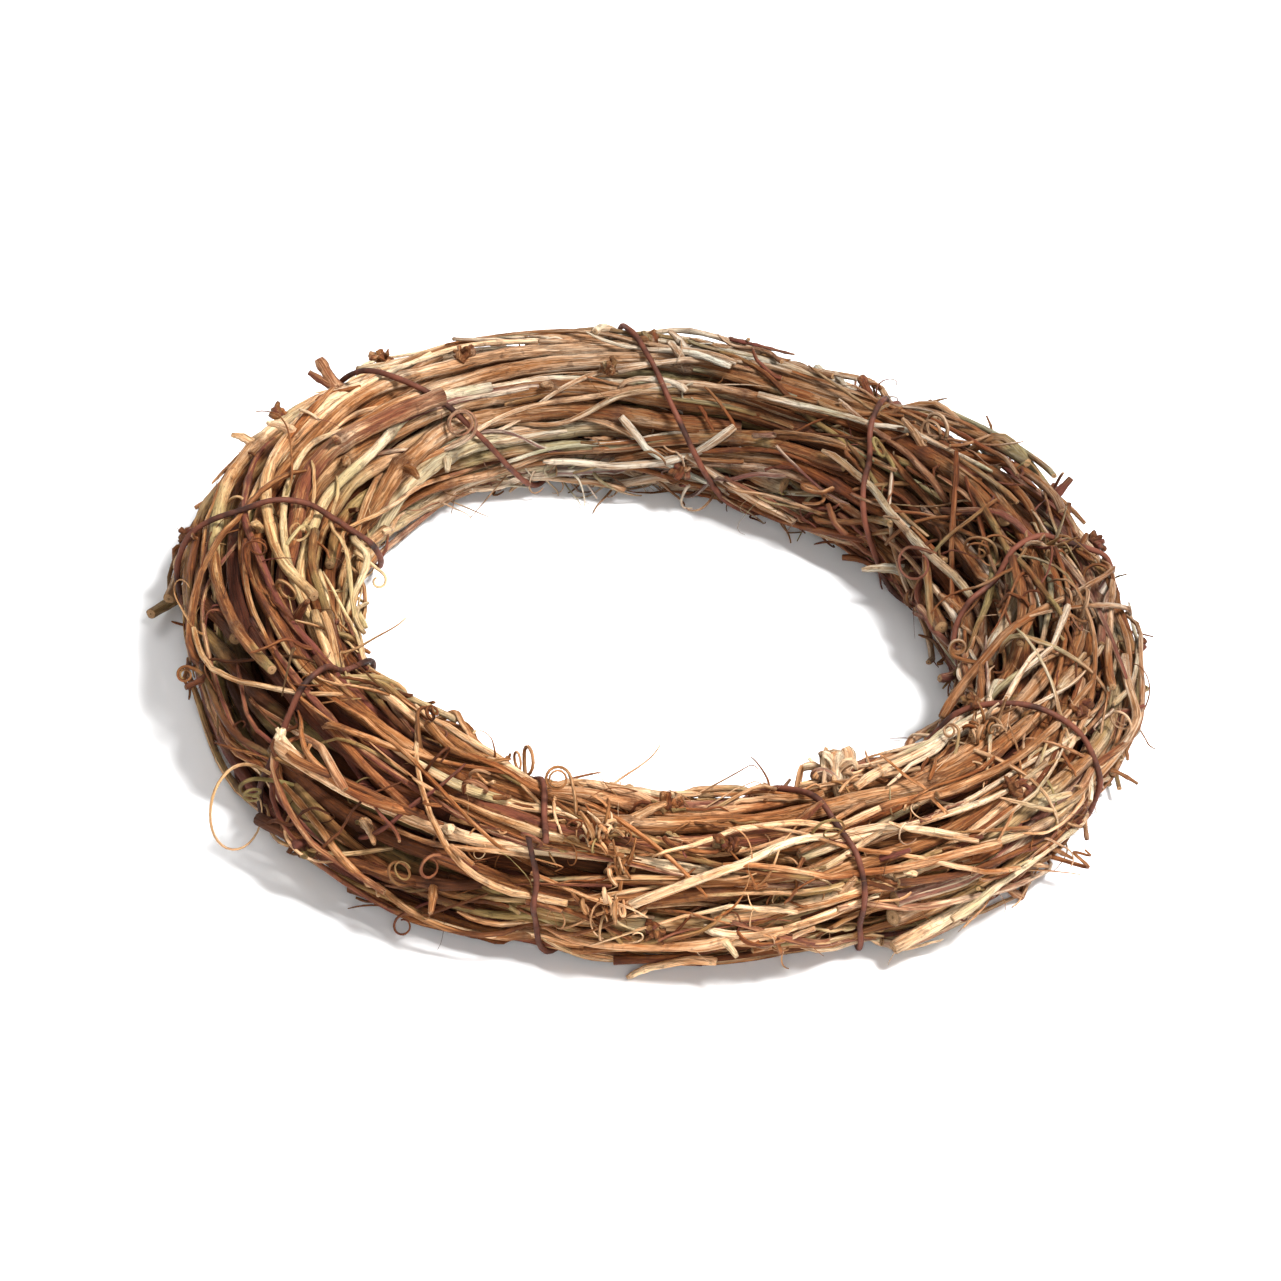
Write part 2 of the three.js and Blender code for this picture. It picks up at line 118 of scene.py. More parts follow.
@dataclass
class Draws:
    """The wreath's own random numbers, the same on every run and the same as its solids were made with."""

    state: int

    def next(self) -> float:
        """Returns the next number from 0 to 1."""
        self.state = (self.state * 1664525 + 1013904223) % 2**32
        return self.state / 2**32

    def within(self, limits: Span) -> float:
        """Returns a number drawn between two limits."""
        return between(limits, self.next())


@dataclass
class Stem:
    """A stem's course through the bundle, with a place in the bundle's section at each station."""

    name: str
    start: int  # the station where it starts
    lifts: Span  # how far its first and its last end may spring out of the bundle
    u: Array  # its places outwards from the bundle's middle
    v: Array  # its places up from the bundle's middle
    radius: Array  # its radius at each place


@dataclass(frozen=True)
class Bundle:
    """The ring, the section of the bundle of stems that goes round it, and the passes of the wire."""

    ring_radius: float = 53.5
    wobble: Span = (1.0, 0.7)  # of the ring, in two and in three waves
    radius: float = 11.3
    swell: Span = (0.7, 0.5)  # of the bundle, in two and in five waves round the ring
    floor_drop: float = 9.8  # how far under the bundle's middle its stems may lie
    floor_trim: float = 0.4  # how far the settled bundle is let down besides
    shift: Span = (1.59, 0.74)  # of the ring's middle
    stations: int = 32  # places round the ring
    wraps: int = 9  # of the wire
    bunching: float = 0.9  # how much of its way round the ring the wire makes at the bundle's inner side
    inside: float = math.radians(200)  # bearing of that side
    wire_start: float = math.radians(262)
    wire_room: float = 2.2  # how far the bundle is drawn up where the wire passes under it
    wire_room_reach: Span = (0.9, 1.5)  # stations to either side that are drawn up fully, and at all

    @property
    def pitch(self) -> float:
        """The stations between one wrap and the next."""
        return self.stations / self.wraps

    def wire_pass(self, bearing: float | Array) -> float | Array:
        """Returns the angle round the ring where the wire passes the side of the bundle at a bearing."""
        step_on = bearing + self.bunching * np.sin(bearing - self.inside)
        return self.wire_start - step_on / self.wraps

    def free_stations(self, station: float, bearing: float, way: int) -> float:
        """Returns how many stations an end runs on past the last wrap that holds it, up (1) or down (-1)."""
        beyond = way * (station - (self.wire_pass(bearing) / TAU) * self.stations)
        return beyond - self.pitch * math.floor(beyond / self.pitch)

    def radius_at(self, station: float | Array) -> float | Array:
        """Returns the bundle's radius at a station."""
        angle = TAU * station / self.stations
        return self.radius + self.swell[0] * np.sin(2 * angle + 1) + self.swell[1] * np.sin(5 * angle)

    def ring_at(self, angle: Array) -> Array:
        """Returns how far the bundle's middle is from the ring's at an angle."""
        two, three = self.wobble
        return self.ring_radius + two * np.cos(2 * angle + 0.5) + three * np.cos(3 * angle)

    def floor_at(self, station: Array) -> Array:
        """Tells how low the bundle may hang. It is drawn up where the wire passes under it.

        Args:
            station: Stations.

        Returns:
            The lowest place that a stem's surface may have there.
        """
        under = (self.wire_pass(1.5 * math.pi) / TAU) * self.stations
        off = station - under - self.pitch * np.floor((station - under) / self.pitch + 0.5)
        reach = self.wire_room_reach
        share = np.clip((reach[1] - np.abs(off)) / (reach[1] - reach[0]), 0, 1)
        return self.wire_room * share - self.floor_drop

    def place(self, angle: float | Array, u: float | Array, v: float | Array) -> Array:
        """Puts places of the bundle's section where they are in the wreath.

        Args:
            angle: Angle round the ring.
            u: Outwards from the bundle's middle.
            v: Up from the bundle's middle.

        Returns:
            The points, in the wreath's frame.
        """
        angle, u, v = np.broadcast_arrays(*map(np.asarray, (angle, u, v)))
        ring = self.ring_at(angle)
        x = self.shift[0] + (ring + u) * np.cos(angle)
        y = self.shift[1] + (ring + u) * np.sin(angle)
        return np.stack([x, y, self.floor_drop - self.floor_trim + v], axis=-1)

    def section(self, points: Array) -> tuple[Array, Array, Array]:
        """Tells where points are in the bundle.

        Args:
            points: Points in the wreath's frame.

        Returns:
            Their angles round the ring, and how far outwards and up from the bundle's middle they are.
        """
        x, y = points[..., 0] - self.shift[0], points[..., 1] - self.shift[1]
        angle = np.arctan2(y, x)
        return angle, np.hypot(x, y) - self.ring_at(angle), points[..., 2] - self.floor_drop + self.floor_trim

    def points(self, stem: Stem) -> Array:
        """Returns a stem's places in the wreath's frame."""
        return self.place(TAU * (stem.start + np.arange(len(stem.u))) / self.stations, stem.u, stem.v)


@dataclass
class Settling:
    """Settles stems against each other, as a bundle does when it is coiled and tied.

    The stems start thin and swell, and any two that come too close push each other apart where they pass, so
    they end up woven over and under. Each also straightens itself, and stays in the bundle and above the
    surface under it. Places are two rows: outwards and up from the bundle's middle.
    """

    bundle: Bundle
    stems: list[Stem]  # the stems that move
    held: Sequence[Stem] = ()  # settled stems, which stay as they are and push the others aside
    clearance: float = 0.35  # between two that lie against each other
    rounds: int = 420
    margin: float = 0.0  # how far a stem may stand out of the bundle's own radius
    thin_start: float = 0.1  # share of its thickness that a stem starts with
    swollen_by: float = 0.6  # share of the rounds after which it has all of it
    stiffness: float = 0.3
    step: float = 0.7  # share of each push that is taken at once
    sag_below: float = -5.0  # what is lower in the bundle also sinks
    sag: float = 0.06
    spring_depth: float = 4.0  # how deep a free end may lie that springs outwards
    spring: float = 0.05
    tied: float = 0.4  # stations beyond the last wrap that it still holds

    def __post_init__(self) -> None:
        """Puts all the stems' places in a row and lists the stretches that lie side by side."""
        everyone = [*self.stems, *self.held]
        self.first = np.concatenate([[0], np.cumsum([len(stem.u) for stem in everyone])])
        self.loose = int(self.first[len(self.stems)])
        self.places = np.concatenate([np.array([stem.u, stem.v], float) for stem in everyone], axis=1)
        self.radius = np.concatenate([stem.radius for stem in everyone])
        self.stations = np.concatenate([stem.start + np.arange(len(stem.u)) for stem in everyone])
        self.pairs = self.side_by_side(everyone)

    def run(self) -> None:
        """Moves stems to their settled places and pinches them where they still press on each other."""
        limit = self.bundle.radius_at(self.stations) + self.margin
        lowest = self.radius + self.bundle.floor_at(self.stations)
        places, loose = self.places, self.loose
        inner = np.setdiff1d(np.arange(loose), np.concatenate([self.first[:-1], self.first[1:] - 1]))
        raised = np.zeros(places.shape[1])
        for turn in range(self.rounds):
            swelling = turn / (self.swollen_by * self.rounds)
            if swelling < 1:
                raised = self.free_ends()
            moves = self.pushes(min(1.0, self.thin_start + (1 - self.thin_start) * swelling))
            straighten = self.stiffness * (1 - turn / self.rounds)
            middle = (places[:, inner - 1] + places[:, inner + 1]) / 2
            moves[:, inner] += straighten * (middle - places[:, inner])
            new = places + self.step * moves
            new[1] -= np.where(places[1] < self.sag_below, self.sag, 0)
            out = np.hypot(*new) + TINY
            sprung = np.where(out > limit - self.spring_depth, out + self.spring * raised, out)
            new = new * np.minimum(sprung, limit + raised - self.radius) / out
            new[1] = np.maximum(new[1], lowest)
            places[:, :loose] = new[:, :loose]
        pinch = self.pinch()
        for stem, start, end in zip(self.stems, self.first, self.first[1:]):
            stem.u, stem.v = places[:, start:end]
            stem.radius = self.radius[start:end] * pinch[start:end]

    def side_by_side(self, stems: list[Stem]) -> Array:
        """Lists the stretches that lie side by side, of which one at least can move.

        Args:
            stems: All the stems.

        Returns:
            Four rows: the places where one stretch starts and ends, and where the other does.
        """
        spans: list[list[tuple[int, int]]] = [[] for _ in range(self.bundle.stations)]
        for stem, start, end in zip(stems, self.first, self.first[1:]):
            for k in range(start - 1, end):
                span = spans[(stem.start + k - start) % self.bundle.stations]
                span.append((max(k, start), min(k + 1, end - 1)))
        rows = []
        for span in spans:
            stretch = np.array(span)
            one, other = np.triu_indices(len(span), 1)
            moves = (stretch[one, 0] < self.loose) | (stretch[other, 0] < self.loose)
            rows.append(np.concatenate([stretch[one], stretch[other]], axis=1)[moves])
        return np.concatenate(rows).T

    def passing(self) -> tuple[Array, Array, Array]:
        """Measures how the two stretches of each pair pass each other.

        Returns:
            The share of the way along where they are nearest, the gap's two sides there and its length.
        """
        a, a2, b, b2 = self.pairs
        start = self.places[:, a] - self.places[:, b]
        along = self.places[:, a2] - self.places[:, b2] - start
        share = np.clip(-(start * along).sum(0) / ((along**2).sum(0) + TINY), 0, 1)
        gap = start + share * along
        return share, gap, np.hypot(*gap) + TINY

    def pushes(self, grown: float) -> Array:
        """Works out how the stems that come too close to each other push.

        Args:
            grown: Share of their thickness that the stems have by now.

        Returns:
            How far each place is pushed.
        """
        share, sides, gap = self.passing()
        wanted = grown * (self.radius[self.pairs[0]] + self.radius[self.pairs[2]] + self.clearance)
        near = gap < wanted
        share, gap, wanted = share[near], gap[near], wanted[near]
        push = 0.5 * (wanted - gap) / gap / ((1 - share) ** 2 + share**2)
        moves = np.concatenate([1 - share, share, share - 1, -share]) * np.tile(sides[:, near] * push, 4)
        index = self.pairs[:, near].reshape(-1)
        return np.array([np.bincount(index, row, len(self.radius)) for row in moves])

    def free_ends(self) -> Array:
        """Works out how far each place may stand out of the bundle, which only the stems' free ends do.

        Returns:
            The height at each place.
        """
        raised = np.zeros(len(self.radius))
        for stem, start, after in zip(self.stems, self.first, self.first[1:]):
            for way, tip, lift in ((-1, start, stem.lifts[0]), (1, after - 1, stem.lifts[1])):
                bearing = math.atan2(self.places[1, tip], self.places[0, tip])
                free = self.bundle.free_stations(stem.start + tip - start, bearing, way) - self.tied
                for left in range(min(math.ceil(free), after - start)):
                    run = self.bundle.wraps * (free - left) / self.bundle.stations
                    place = tip - way * left
                    raised[place] = max(raised[place], lift * run**1.5)
        return raised

    def pinch(self) -> Array:
        """Works out where two stems still press on each other.

        Returns:
            The share of its radius that each place keeps.
        """
        a, a2, b, b2 = self.pairs
        thickness = np.maximum(self.radius[a] + self.radius[b], self.radius[a2] + self.radius[b2])
        fitting = (self.passing()[2] - self.clearance) / thickness
        kept = np.ones(len(self.radius))
        np.minimum.at(kept, self.pairs.reshape(-1), np.tile(fitting, 4))
        return kept


@dataclass
class Rods:
    """The straight pieces of all that is in the bundle, which what grows or winds there stays clear of."""

    start: Array = field(default_factory=lambda: np.zeros((0, 3)))
    end: Array = field(default_factory=lambda: np.zeros((0, 3)))
    radius: Array = field(default_factory=lambda: np.zeros(0))
    owner: Array = field(default_factory=lambda: np.zeros(0, "U16"))

    def add(self, points: Array, radii: Array, owner: str) -> None:
        """Adds the pieces between points, each as thick as the thicker of its two ends.

        Args:
            points: The points.
            radii: The radius at each.
            owner: Whose they are.
        """
        self.start = np.concatenate([self.start, points[:-1]])
        self.end = np.concatenate([self.end, points[1:]])
        self.radius = np.concatenate([self.radius, np.maximum(radii[:-1], radii[1:])])
        self.owner = np.concatenate([self.owner, np.full(len(points) - 1, owner, "U16")])

    def clear(self, spots: Array, room: float, owner: str = "") -> bool:
        """Tells whether all spots are further than a distance from every rod.

        Args:
            spots: The spots.
            room: The distance.
            owner: Whose rods don't count.

        Returns:
            Whether they are.
        """
        mine = self.owner == owner
        along = self.end - self.start
        length = (along**2).sum(1) + TINY
        away = spots[:, None] - self.start
        share = np.clip((away * along).sum(2) / length, 0, 1)
        gap = np.linalg.norm(away - share[:, :, None] * along, axis=2)
        return bool(((gap > self.radius + room) | mine).all())


@dataclass(frozen=True)
class Wire:
    """The thin dark wire that is wound round the bundle, taut over its stems."""

    radius: float = 0.5
    gap: float = -0.3  # from the stems, before it is let out
    clearance: float = 0.25
    steps: int = 18  # to a wrap
    rounds: int = 30
    let_out: float = 0.05  # at a time
    tries: int = 17  # tight lines to either side that are tried at each bearing
    tail: float = 5.0  # how far its two ends stand up
    tail_apart: float = 1.0
    tail_bearing: float = math.radians(50)
    off_floor: float = 0.1

    def taut(self, bundle: Bundle, stems: list[Stem], angle: float, bearing: float) -> float:
        """Works out where a tight line round all the stems lies.

        Args:
            bundle: The bundle.
            stems: The stems in it.
            angle: Angle round the ring.
            bearing: Side of the bundle.

        Returns:
            How far out of the bundle's middle it lies there.
        """
        count = bundle.stations
        station = (angle / TAU * count + 8 * count) % count
        discs = []
        for stem in stems:
            k = np.arange((station - stem.start + count) % count, len(stem.u) - 1 + TINY, count)
            at = np.minimum(np.floor(k).astype(int), len(stem.u) - 2)
            share = k - at
            rows = (stem.u, stem.v, stem.radius)
            u, v, radius = (row[at] + (row[at + 1] - row[at]) * share for row in rows)
            held = np.minimum(1, (bundle.radius_at(station) - radius) / np.hypot(u, v))
            discs.append(np.stack([held * u, held * v, radius + self.radius + self.gap]))
        u, v, radius = np.concatenate(discs, axis=1)
        lean = np.arange(-self.tries, self.tries + 1) * TAU / (4 * self.tries + 4)
        way = bearing + lean[:, None]
        furthest = (u * np.cos(way) + v * np.sin(way) + radius).max(1)
        return float((furthest / np.cos(lean)).min())

    def course(self, bundle: Bundle, stems: list[Stem], rods: Rods) -> Array:
        """Winds the wire round the bundle and lets it out wherever a stem is in its way.

        Args:
            bundle: The bundle that it is wound on.
            stems: The stems in it.
            rods: What the wire must stay clear of.

        Returns:
            The points that it runs through.
        """
        last = bundle.wraps * self.steps
        index = np.arange(last + 1)
        bearing = TAU * index / self.steps + self.tail_bearing
        tail = (index == last) * 1.0 - (index == 0)
        halves = np.arange(-1, 2 * last + 2) / 2
        turned = TAU * halves / self.steps + self.tail_bearing
        taut = np.array([self.taut(bundle, stems, bundle.wire_pass(b), b) for b in turned])
        reach = np.maximum(np.maximum(taut[0:-2:2], taut[1:-1:2]), taut[2::2]) + tail**2 * self.tail
        angle = bundle.wire_pass(bearing) - tail * self.tail_apart / bundle.ring_radius

        lowest = bundle.floor_trim - bundle.floor_drop + self.radius + self.off_floor

        def point(i: int) -> Array:
            """Returns one of the wire's points as it has been let out so far."""
            up = max(reach[i] * math.sin(bearing[i]), lowest)
            return bundle.place(angle[i], reach[i] * math.cos(bearing[i]), up)

        shares = np.array([0, 0.25, 0.5, 0.75, 1])[:, None]
        for _ in range(self.rounds):
            for i in range(last):
                start, end = point(i), point(i + 1)
                if not rods.clear(start + shares * (end - start), self.radius + self.clearance):
                    reach[i : i + 2] += self.let_out
        return np.array([point(i) for i in index])


class Growth(Enum):
    """What grows at a stem's joint, or ends it."""

    SHOOT = "shoot"
    TENDRIL = "tendril"
    HEEL = "heel"


@dataclass
class Grown:
    """Something that grows on a stem: what it is, whose it is, its points and its radius at each."""

    kind: Growth
    owner: str
    points: Array
    radii: Array


@dataclass(frozen=True)
class Joint:
    """A joint at the bundle's surface: its middle, the way out of the bundle and the stem's way on."""

    middle: Array
    outward: Array
    onward: Array


@dataclass(frozen=True)
class Sort:
    """A sort of stem: how many there are, and the limits that each one is drawn within."""

    count: int
    laps: Span  # their lengths, in turns round the ring
    butt: Span  # their radii at the thick end
    wind: Span  # their turns round the bundle in each turn round the ring
    lift: float  # how far their ends may spring out


@dataclass
class Wreath:
    """Works out the wreath again by the rule that made its solids."""

    bundle: Bundle = Bundle()
    wire: Wire = Wire()
    stems: list[Stem] = field(default_factory=list)
    rods: Rods = field(default_factory=Rods)  # everything in it, as straight pieces
    grown: list[Grown] = field(default_factory=list)  # the shoots, tendrils and the heel
    wire_points: Array = field(default_factory=lambda: np.zeros((0, 3)))  # the wire's course

    canes: Sort = Sort(20, (1.4, 2.5), (1.05, 1.5), (-0.5, 0.7), 6.0)
    twigs: Sort = Sort(10, (0.16, 0.34), (0.8, 1.1), (-0.9, 0.9), 8.0)
    front_butt: float = 0.95
    # The start, length, bearing, winding and lifts of the three twigs that stand out at the front.
    front_twigs: tuple[tuple, ...] = (
        (20, 0.15, 0.3, 0.8, (9, 1)),
        (25, 0.2, -0.3, 1.6, (4, 2)),
        (27, 0.25, -0.8, 1.2, (4, 3)),
    )
    wander: Span = (2.4, 0.5)  # in and out in millimetres, and sideways in radians
    wander_waves: Span = (1.4, 2.1)
    taper: float = 0.68
    heel_half_length: float = 2.2
    heel_radius: float = 0.85
    clearance: float = 0.35
    joint_spacing: int = 4
    shoots_above: float = -3.4
    surface_depth: float = 1.2
    shoot_length: Span = (2.5, 6.0)
    shoot_radii: Span = (0.75, 0.5)
    shoot_lean: Span = (0.4, 1.0)
    tendril_chance: float = 0.14
    shoot_chance: float = 0.85
    tendril_radius: float = 0.35
    tendril_coil: Span = (1.6, 2.8)
    tendril_turns: Span = (1.0, 2.0)
    tendril_steps: int = 18
    tendril_stalk: float = 3.2
    stalk_share: float = 0.25
    checks: int = 16  # stretches of what grows whose ends are tested for room
    seed: int = 20

    def build(self) -> None:
        """Draws, settles and ties the stems, and lets shoots and tendrils grow on them."""
        draws = Draws(self.seed)
        self.stems = self.draw_stems(draws)
        Settling(self.bundle, self.stems, clearance=self.clearance).run()
        for stem in self.stems:
            self.rods.add(self.bundle.points(stem), stem.radius, stem.name)
        self.wire_points = self.wire.course(self.bundle, self.stems, self.rods)
        wire_radii = np.full(len(self.wire_points), self.wire.radius)
        self.rods.add(self.wire_points, wire_radii, "binding_wire")
        heeled = self.stem("twig_1")
        up = np.array([[0, 0, -self.heel_half_length], [0, 0, self.heel_half_length]])
        self.grow(Growth.HEEL, heeled, self.bundle.points(heeled)[0] + up, np.full(2, self.heel_radius))
        for stem in self.stems:
            for joint in self.surface_joints(stem):
                self.grow_at(joint, stem, draws)

    def stem(self, name: str) -> Stem:
        """Returns the stem with a name."""
        return next(stem for stem in self.stems if stem.name == name)

    def course(self, draws: Draws, name: str, laps: float, butt: float, reach: float, bearing: float,
               wind: float, start: int, lifts: Span) -> Stem:
        """Draws a stem's first course through the bundle, which wanders in and out and winds slowly round.

        Args:
            draws: The random numbers.
            name: The stem's name.
            laps: Its length, in turns round the ring.
            butt: Its radius at the thick end.
            reach: How far out in the bundle it lies.
            bearing: On which side of the bundle it starts.
            wind: Its turns round the bundle in each turn round the ring.
            start: The station where it starts.
            lifts: How far its ends may spring out.

        Returns:
            The stem.
        """
        count = math.floor(laps * self.bundle.stations + 0.5) + 1
        in_and_out, sideways = draws.next() * TAU, draws.next() * TAU
        k = np.arange(count)
        turn = TAU * k / self.bundle.stations
        out = np.abs(reach + self.wander[0] * np.sin(self.wander_waves[0] * turn + in_and_out))
        angle = bearing + wind * turn + self.wander[1] * np.sin(self.wander_waves[1] * turn + sideways)
        radius = butt * (1 - (1 - self.taper) * (k / (count - 1)))
        return Stem(name, start, lifts, out * np.cos(angle), out * np.sin(angle), radius)

    def drawn(self, draws: Draws, name: str, reach: float, bearing: float, sort: Sort) -> Stem:
        """Draws a stem's length, thickness, winding, start and lifts, and then its course.

        Args:
            draws: The random numbers.
            name: The stem's name.
            reach: How far out in the bundle it lies.
            bearing: On which side of the bundle it starts.
            sort: What sort of stem it is.

        Returns:
            The stem.
        """
        laps, butt, wind = draws.within(sort.laps), draws.within(sort.butt), draws.within(sort.wind)
        start = math.floor(draws.next() * self.bundle.stations)
        lifts = (sort.lift * draws.next(), sort.lift * draws.next())
        return self.course(draws, name, laps, butt, reach, bearing, wind, start, lifts)

    def draw_stems(self, draws: Draws) -> list[Stem]:
        """Draws the canes, then the three twigs that stand out at the front, then the other twigs.

        Args:
            draws: The random numbers.

        Returns:
            The stems, not yet settled.
        """
        stems = []
        for i in range(self.canes.count):
            reach = (self.bundle.radius - 1.5) * math.sqrt((i + 0.5) / self.canes.count)
            stems.append(self.drawn(draws, f"cane_{i + 1}", reach, i * GOLDEN_ANGLE, self.canes))
        reach = self.bundle.radius - 1
        for number, (start, laps, bearing, wind, lifts) in enumerate(self.front_twigs, 1):
            butt = self.front_butt
            stems.append(self.course(draws, f"twig_{number}", laps, butt, reach, bearing, wind, start, lifts))
        for i in range(self.twigs.count):
            name = f"twig_{len(self.front_twigs) + i + 1}"
            stems.append(self.drawn(draws, name, reach, i * GOLDEN_ANGLE, self.twigs))
        return stems

    def surface_joints(self, stem: Stem) -> list[Joint]:
        """Lists a stem's joints where it lies at the bundle's surface, on top or at a side.

        Args:
            stem: The stem.

        Returns:
            The joints.
        """
        joints = []
        for k in range(2, len(stem.u) - 2, self.joint_spacing):
            u, v = stem.u[k], stem.v[k]
            out = math.hypot(u, v)
            if out + stem.radius[k] < self.bundle.radius - self.surface_depth or v < self.shoots_above:
                continue
            angle = TAU * (stem.start + k) / self.bundle.stations
            middle = self.bundle.place(angle, u, v)
            outward = self.bundle.place(angle, u + u / out, v + v / out) - middle
            joints.append(Joint(middle, outward, np.array([-math.sin(angle), math.cos(angle), 0])))
        return joints

    def grow_at(self, joint: Joint, stem: Stem, draws: Draws) -> None:
        """Lets a tendril, a shoot or nothing grow at a joint.

        Args:
            joint: The joint.
            stem: The stem that it is on.
            draws: The random numbers.
        """
        choice, size, lean = draws.next(), draws.next(), draws.next()
        if choice < self.tendril_chance:
            points = self.tendril(joint, between(self.tendril_coil, size), between(self.tendril_turns, lean))
            self.grow(Growth.TENDRIL, stem, points, np.full(len(points), self.tendril_radius))
        elif choice < self.shoot_chance:
            length = stem.radius[0] + between(self.shoot_length, size)
            leaning = between(self.shoot_lean, lean)
            way = joint.outward * math.cos(leaning) + joint.onward * math.sin(leaning)
            points = np.array([joint.middle, joint.middle + way * length])
            self.grow(Growth.SHOOT, stem, points, np.array(self.shoot_radii))

    def tendril(self, joint: Joint, coil: float, turns: float) -> Array:
        """Runs a tendril outwards from its joint and then round in a small coil that is drawn out sideways.

        Args:
            joint: The joint.
            coil: The coil's radius.
            turns: Its turns.

        Returns:
            The tendril's points.
        """
        across = np.cross(joint.outward, joint.onward)
        share = np.arange(self.tendril_steps + 1)[:, None] / self.tendril_steps
        turn = TAU * turns * np.maximum(0, (share - self.stalk_share) / (1 - self.stalk_share))
        tight = coil * (1 - 0.45 * share)
        outward = self.tendril_stalk * np.minimum(1, share / self.stalk_share) + tight * np.sin(turn)
        onward = tight * (1 - np.cos(turn))
        return joint.middle + joint.outward * outward + joint.onward * onward + across * 3.5 * share**2

    def grow(self, kind: Growth, stem: Stem, points: Array, radii: Array) -> None:
        """Grows something out of a stem, if nothing is in its way.

        Args:
            kind: What it is.
            stem: The stem.
            points: Its two ends, or the points that it runs through.
            radii: Its radius at each.
        """
        share = np.arange(self.checks + 1) / self.checks
        if len(points) > 2:
            course = smooth_course(points, self.checks)
            spots = course[np.floor(share * (len(course) - 1) + 0.5).astype(int)]
        else:
            spots = points[0] + share[:, None] * (points[1] - points[0])
        if self.rods.clear(spots, radii[0] + self.clearance, stem.name):
            self.grown.append(Grown(kind, stem.name, points, radii))
            self.rods.add(points, radii, stem.name)


@dataclass
class Surface:
    """Closed surfaces as whole arrays."""

    corners: Array
    quads: Array  # the four-sided faces, as rows of corner numbers
    fans: Array  # the three-sided faces at the poles
    # What the bark's pattern reads at each corner: two sides across the stem, and the way along it.
    grain: Array
    tint: Array  # what the bark's colour reads: its tone, less any painted shade, its hue, how much it is a joint and how much a cut

    @staticmethod
    def joined(parts: list[Surface]) -> Surface:
        """Joins surfaces.

        Args:
            parts: The surfaces.

        Returns:
            All of them as one.
        """
        offsets = np.cumsum([0] + [len(part.corners) for part in parts[:-1]])
        rows = ((part.corners, part.quads + offset, part.fans + offset, part.grain, part.tint)
                for part, offset in zip(parts, offsets))
        return Surface(*map(np.concatenate, zip(*rows)))

    def piece(self, name: str, finish: Material) -> bpy.types.Object:
        """Makes the surface a Blender object in its place, in metres.

        Args:
            name: The piece's name.
            finish: Its material.

        Returns:
            The object, at the origin, unturned and unscaled.
        """
        mesh = bpy.data.meshes.new(name)
        rested = self.corners.copy()
        rested[:, 2] = np.maximum(rested[:, 2], 0)
        mesh.vertices.add(len(rested))
        mesh.vertices.foreach_set("co", (rested * MILLIMETRE).astype(np.float32).ravel())
        loops = np.concatenate([self.quads.ravel(), self.fans.ravel()])
        mesh.loops.add(len(loops))
        mesh.loops.foreach_set("vertex_index", loops.astype(np.int32))
        quad_loops = 4 * len(self.quads)
        starts = np.concatenate([np.arange(0, quad_loops, 4), np.arange(quad_loops, len(loops), 3)])
        mesh.polygons.add(len(starts))
        mesh.polygons.foreach_set("loop_start", starts.astype(np.int32))
        grain = mesh.attributes.new("grain", "FLOAT_VECTOR", "POINT")
        grain.data.foreach_set("vector", self.grain.astype(np.float32).ravel())
        tint = mesh.attributes.new("tint", "FLOAT_COLOR", "POINT")
        tint.data.foreach_set("color", self.tint.astype(np.float32).ravel())
        mesh.update(calc_edges=True)
        mesh.shade_smooth()
        mesh.materials.append(finish)
        thing = bpy.data.objects.new(name, mesh)
        bpy.context.scene.collection.objects.link(thing)
        return thing


@dataclass(frozen=True)
class Section:
    """How a tube's section departs from a plain circle."""

    sides: int = 12  # number of its corners
    # Height of its ridges, as shares of its radius, for two, three and five of them round it.
    ridges: tuple[float, ...] = (0.05, 0.05, 0.03)
    flatness: float = 1.0  # its thickness across the reference way, as a share of its width
    dome: float = 0.12  # how far its ends bulge, as a share of its radius
    rim: float = 0.82  # radius of the ends' inner ring, as a share of the end's


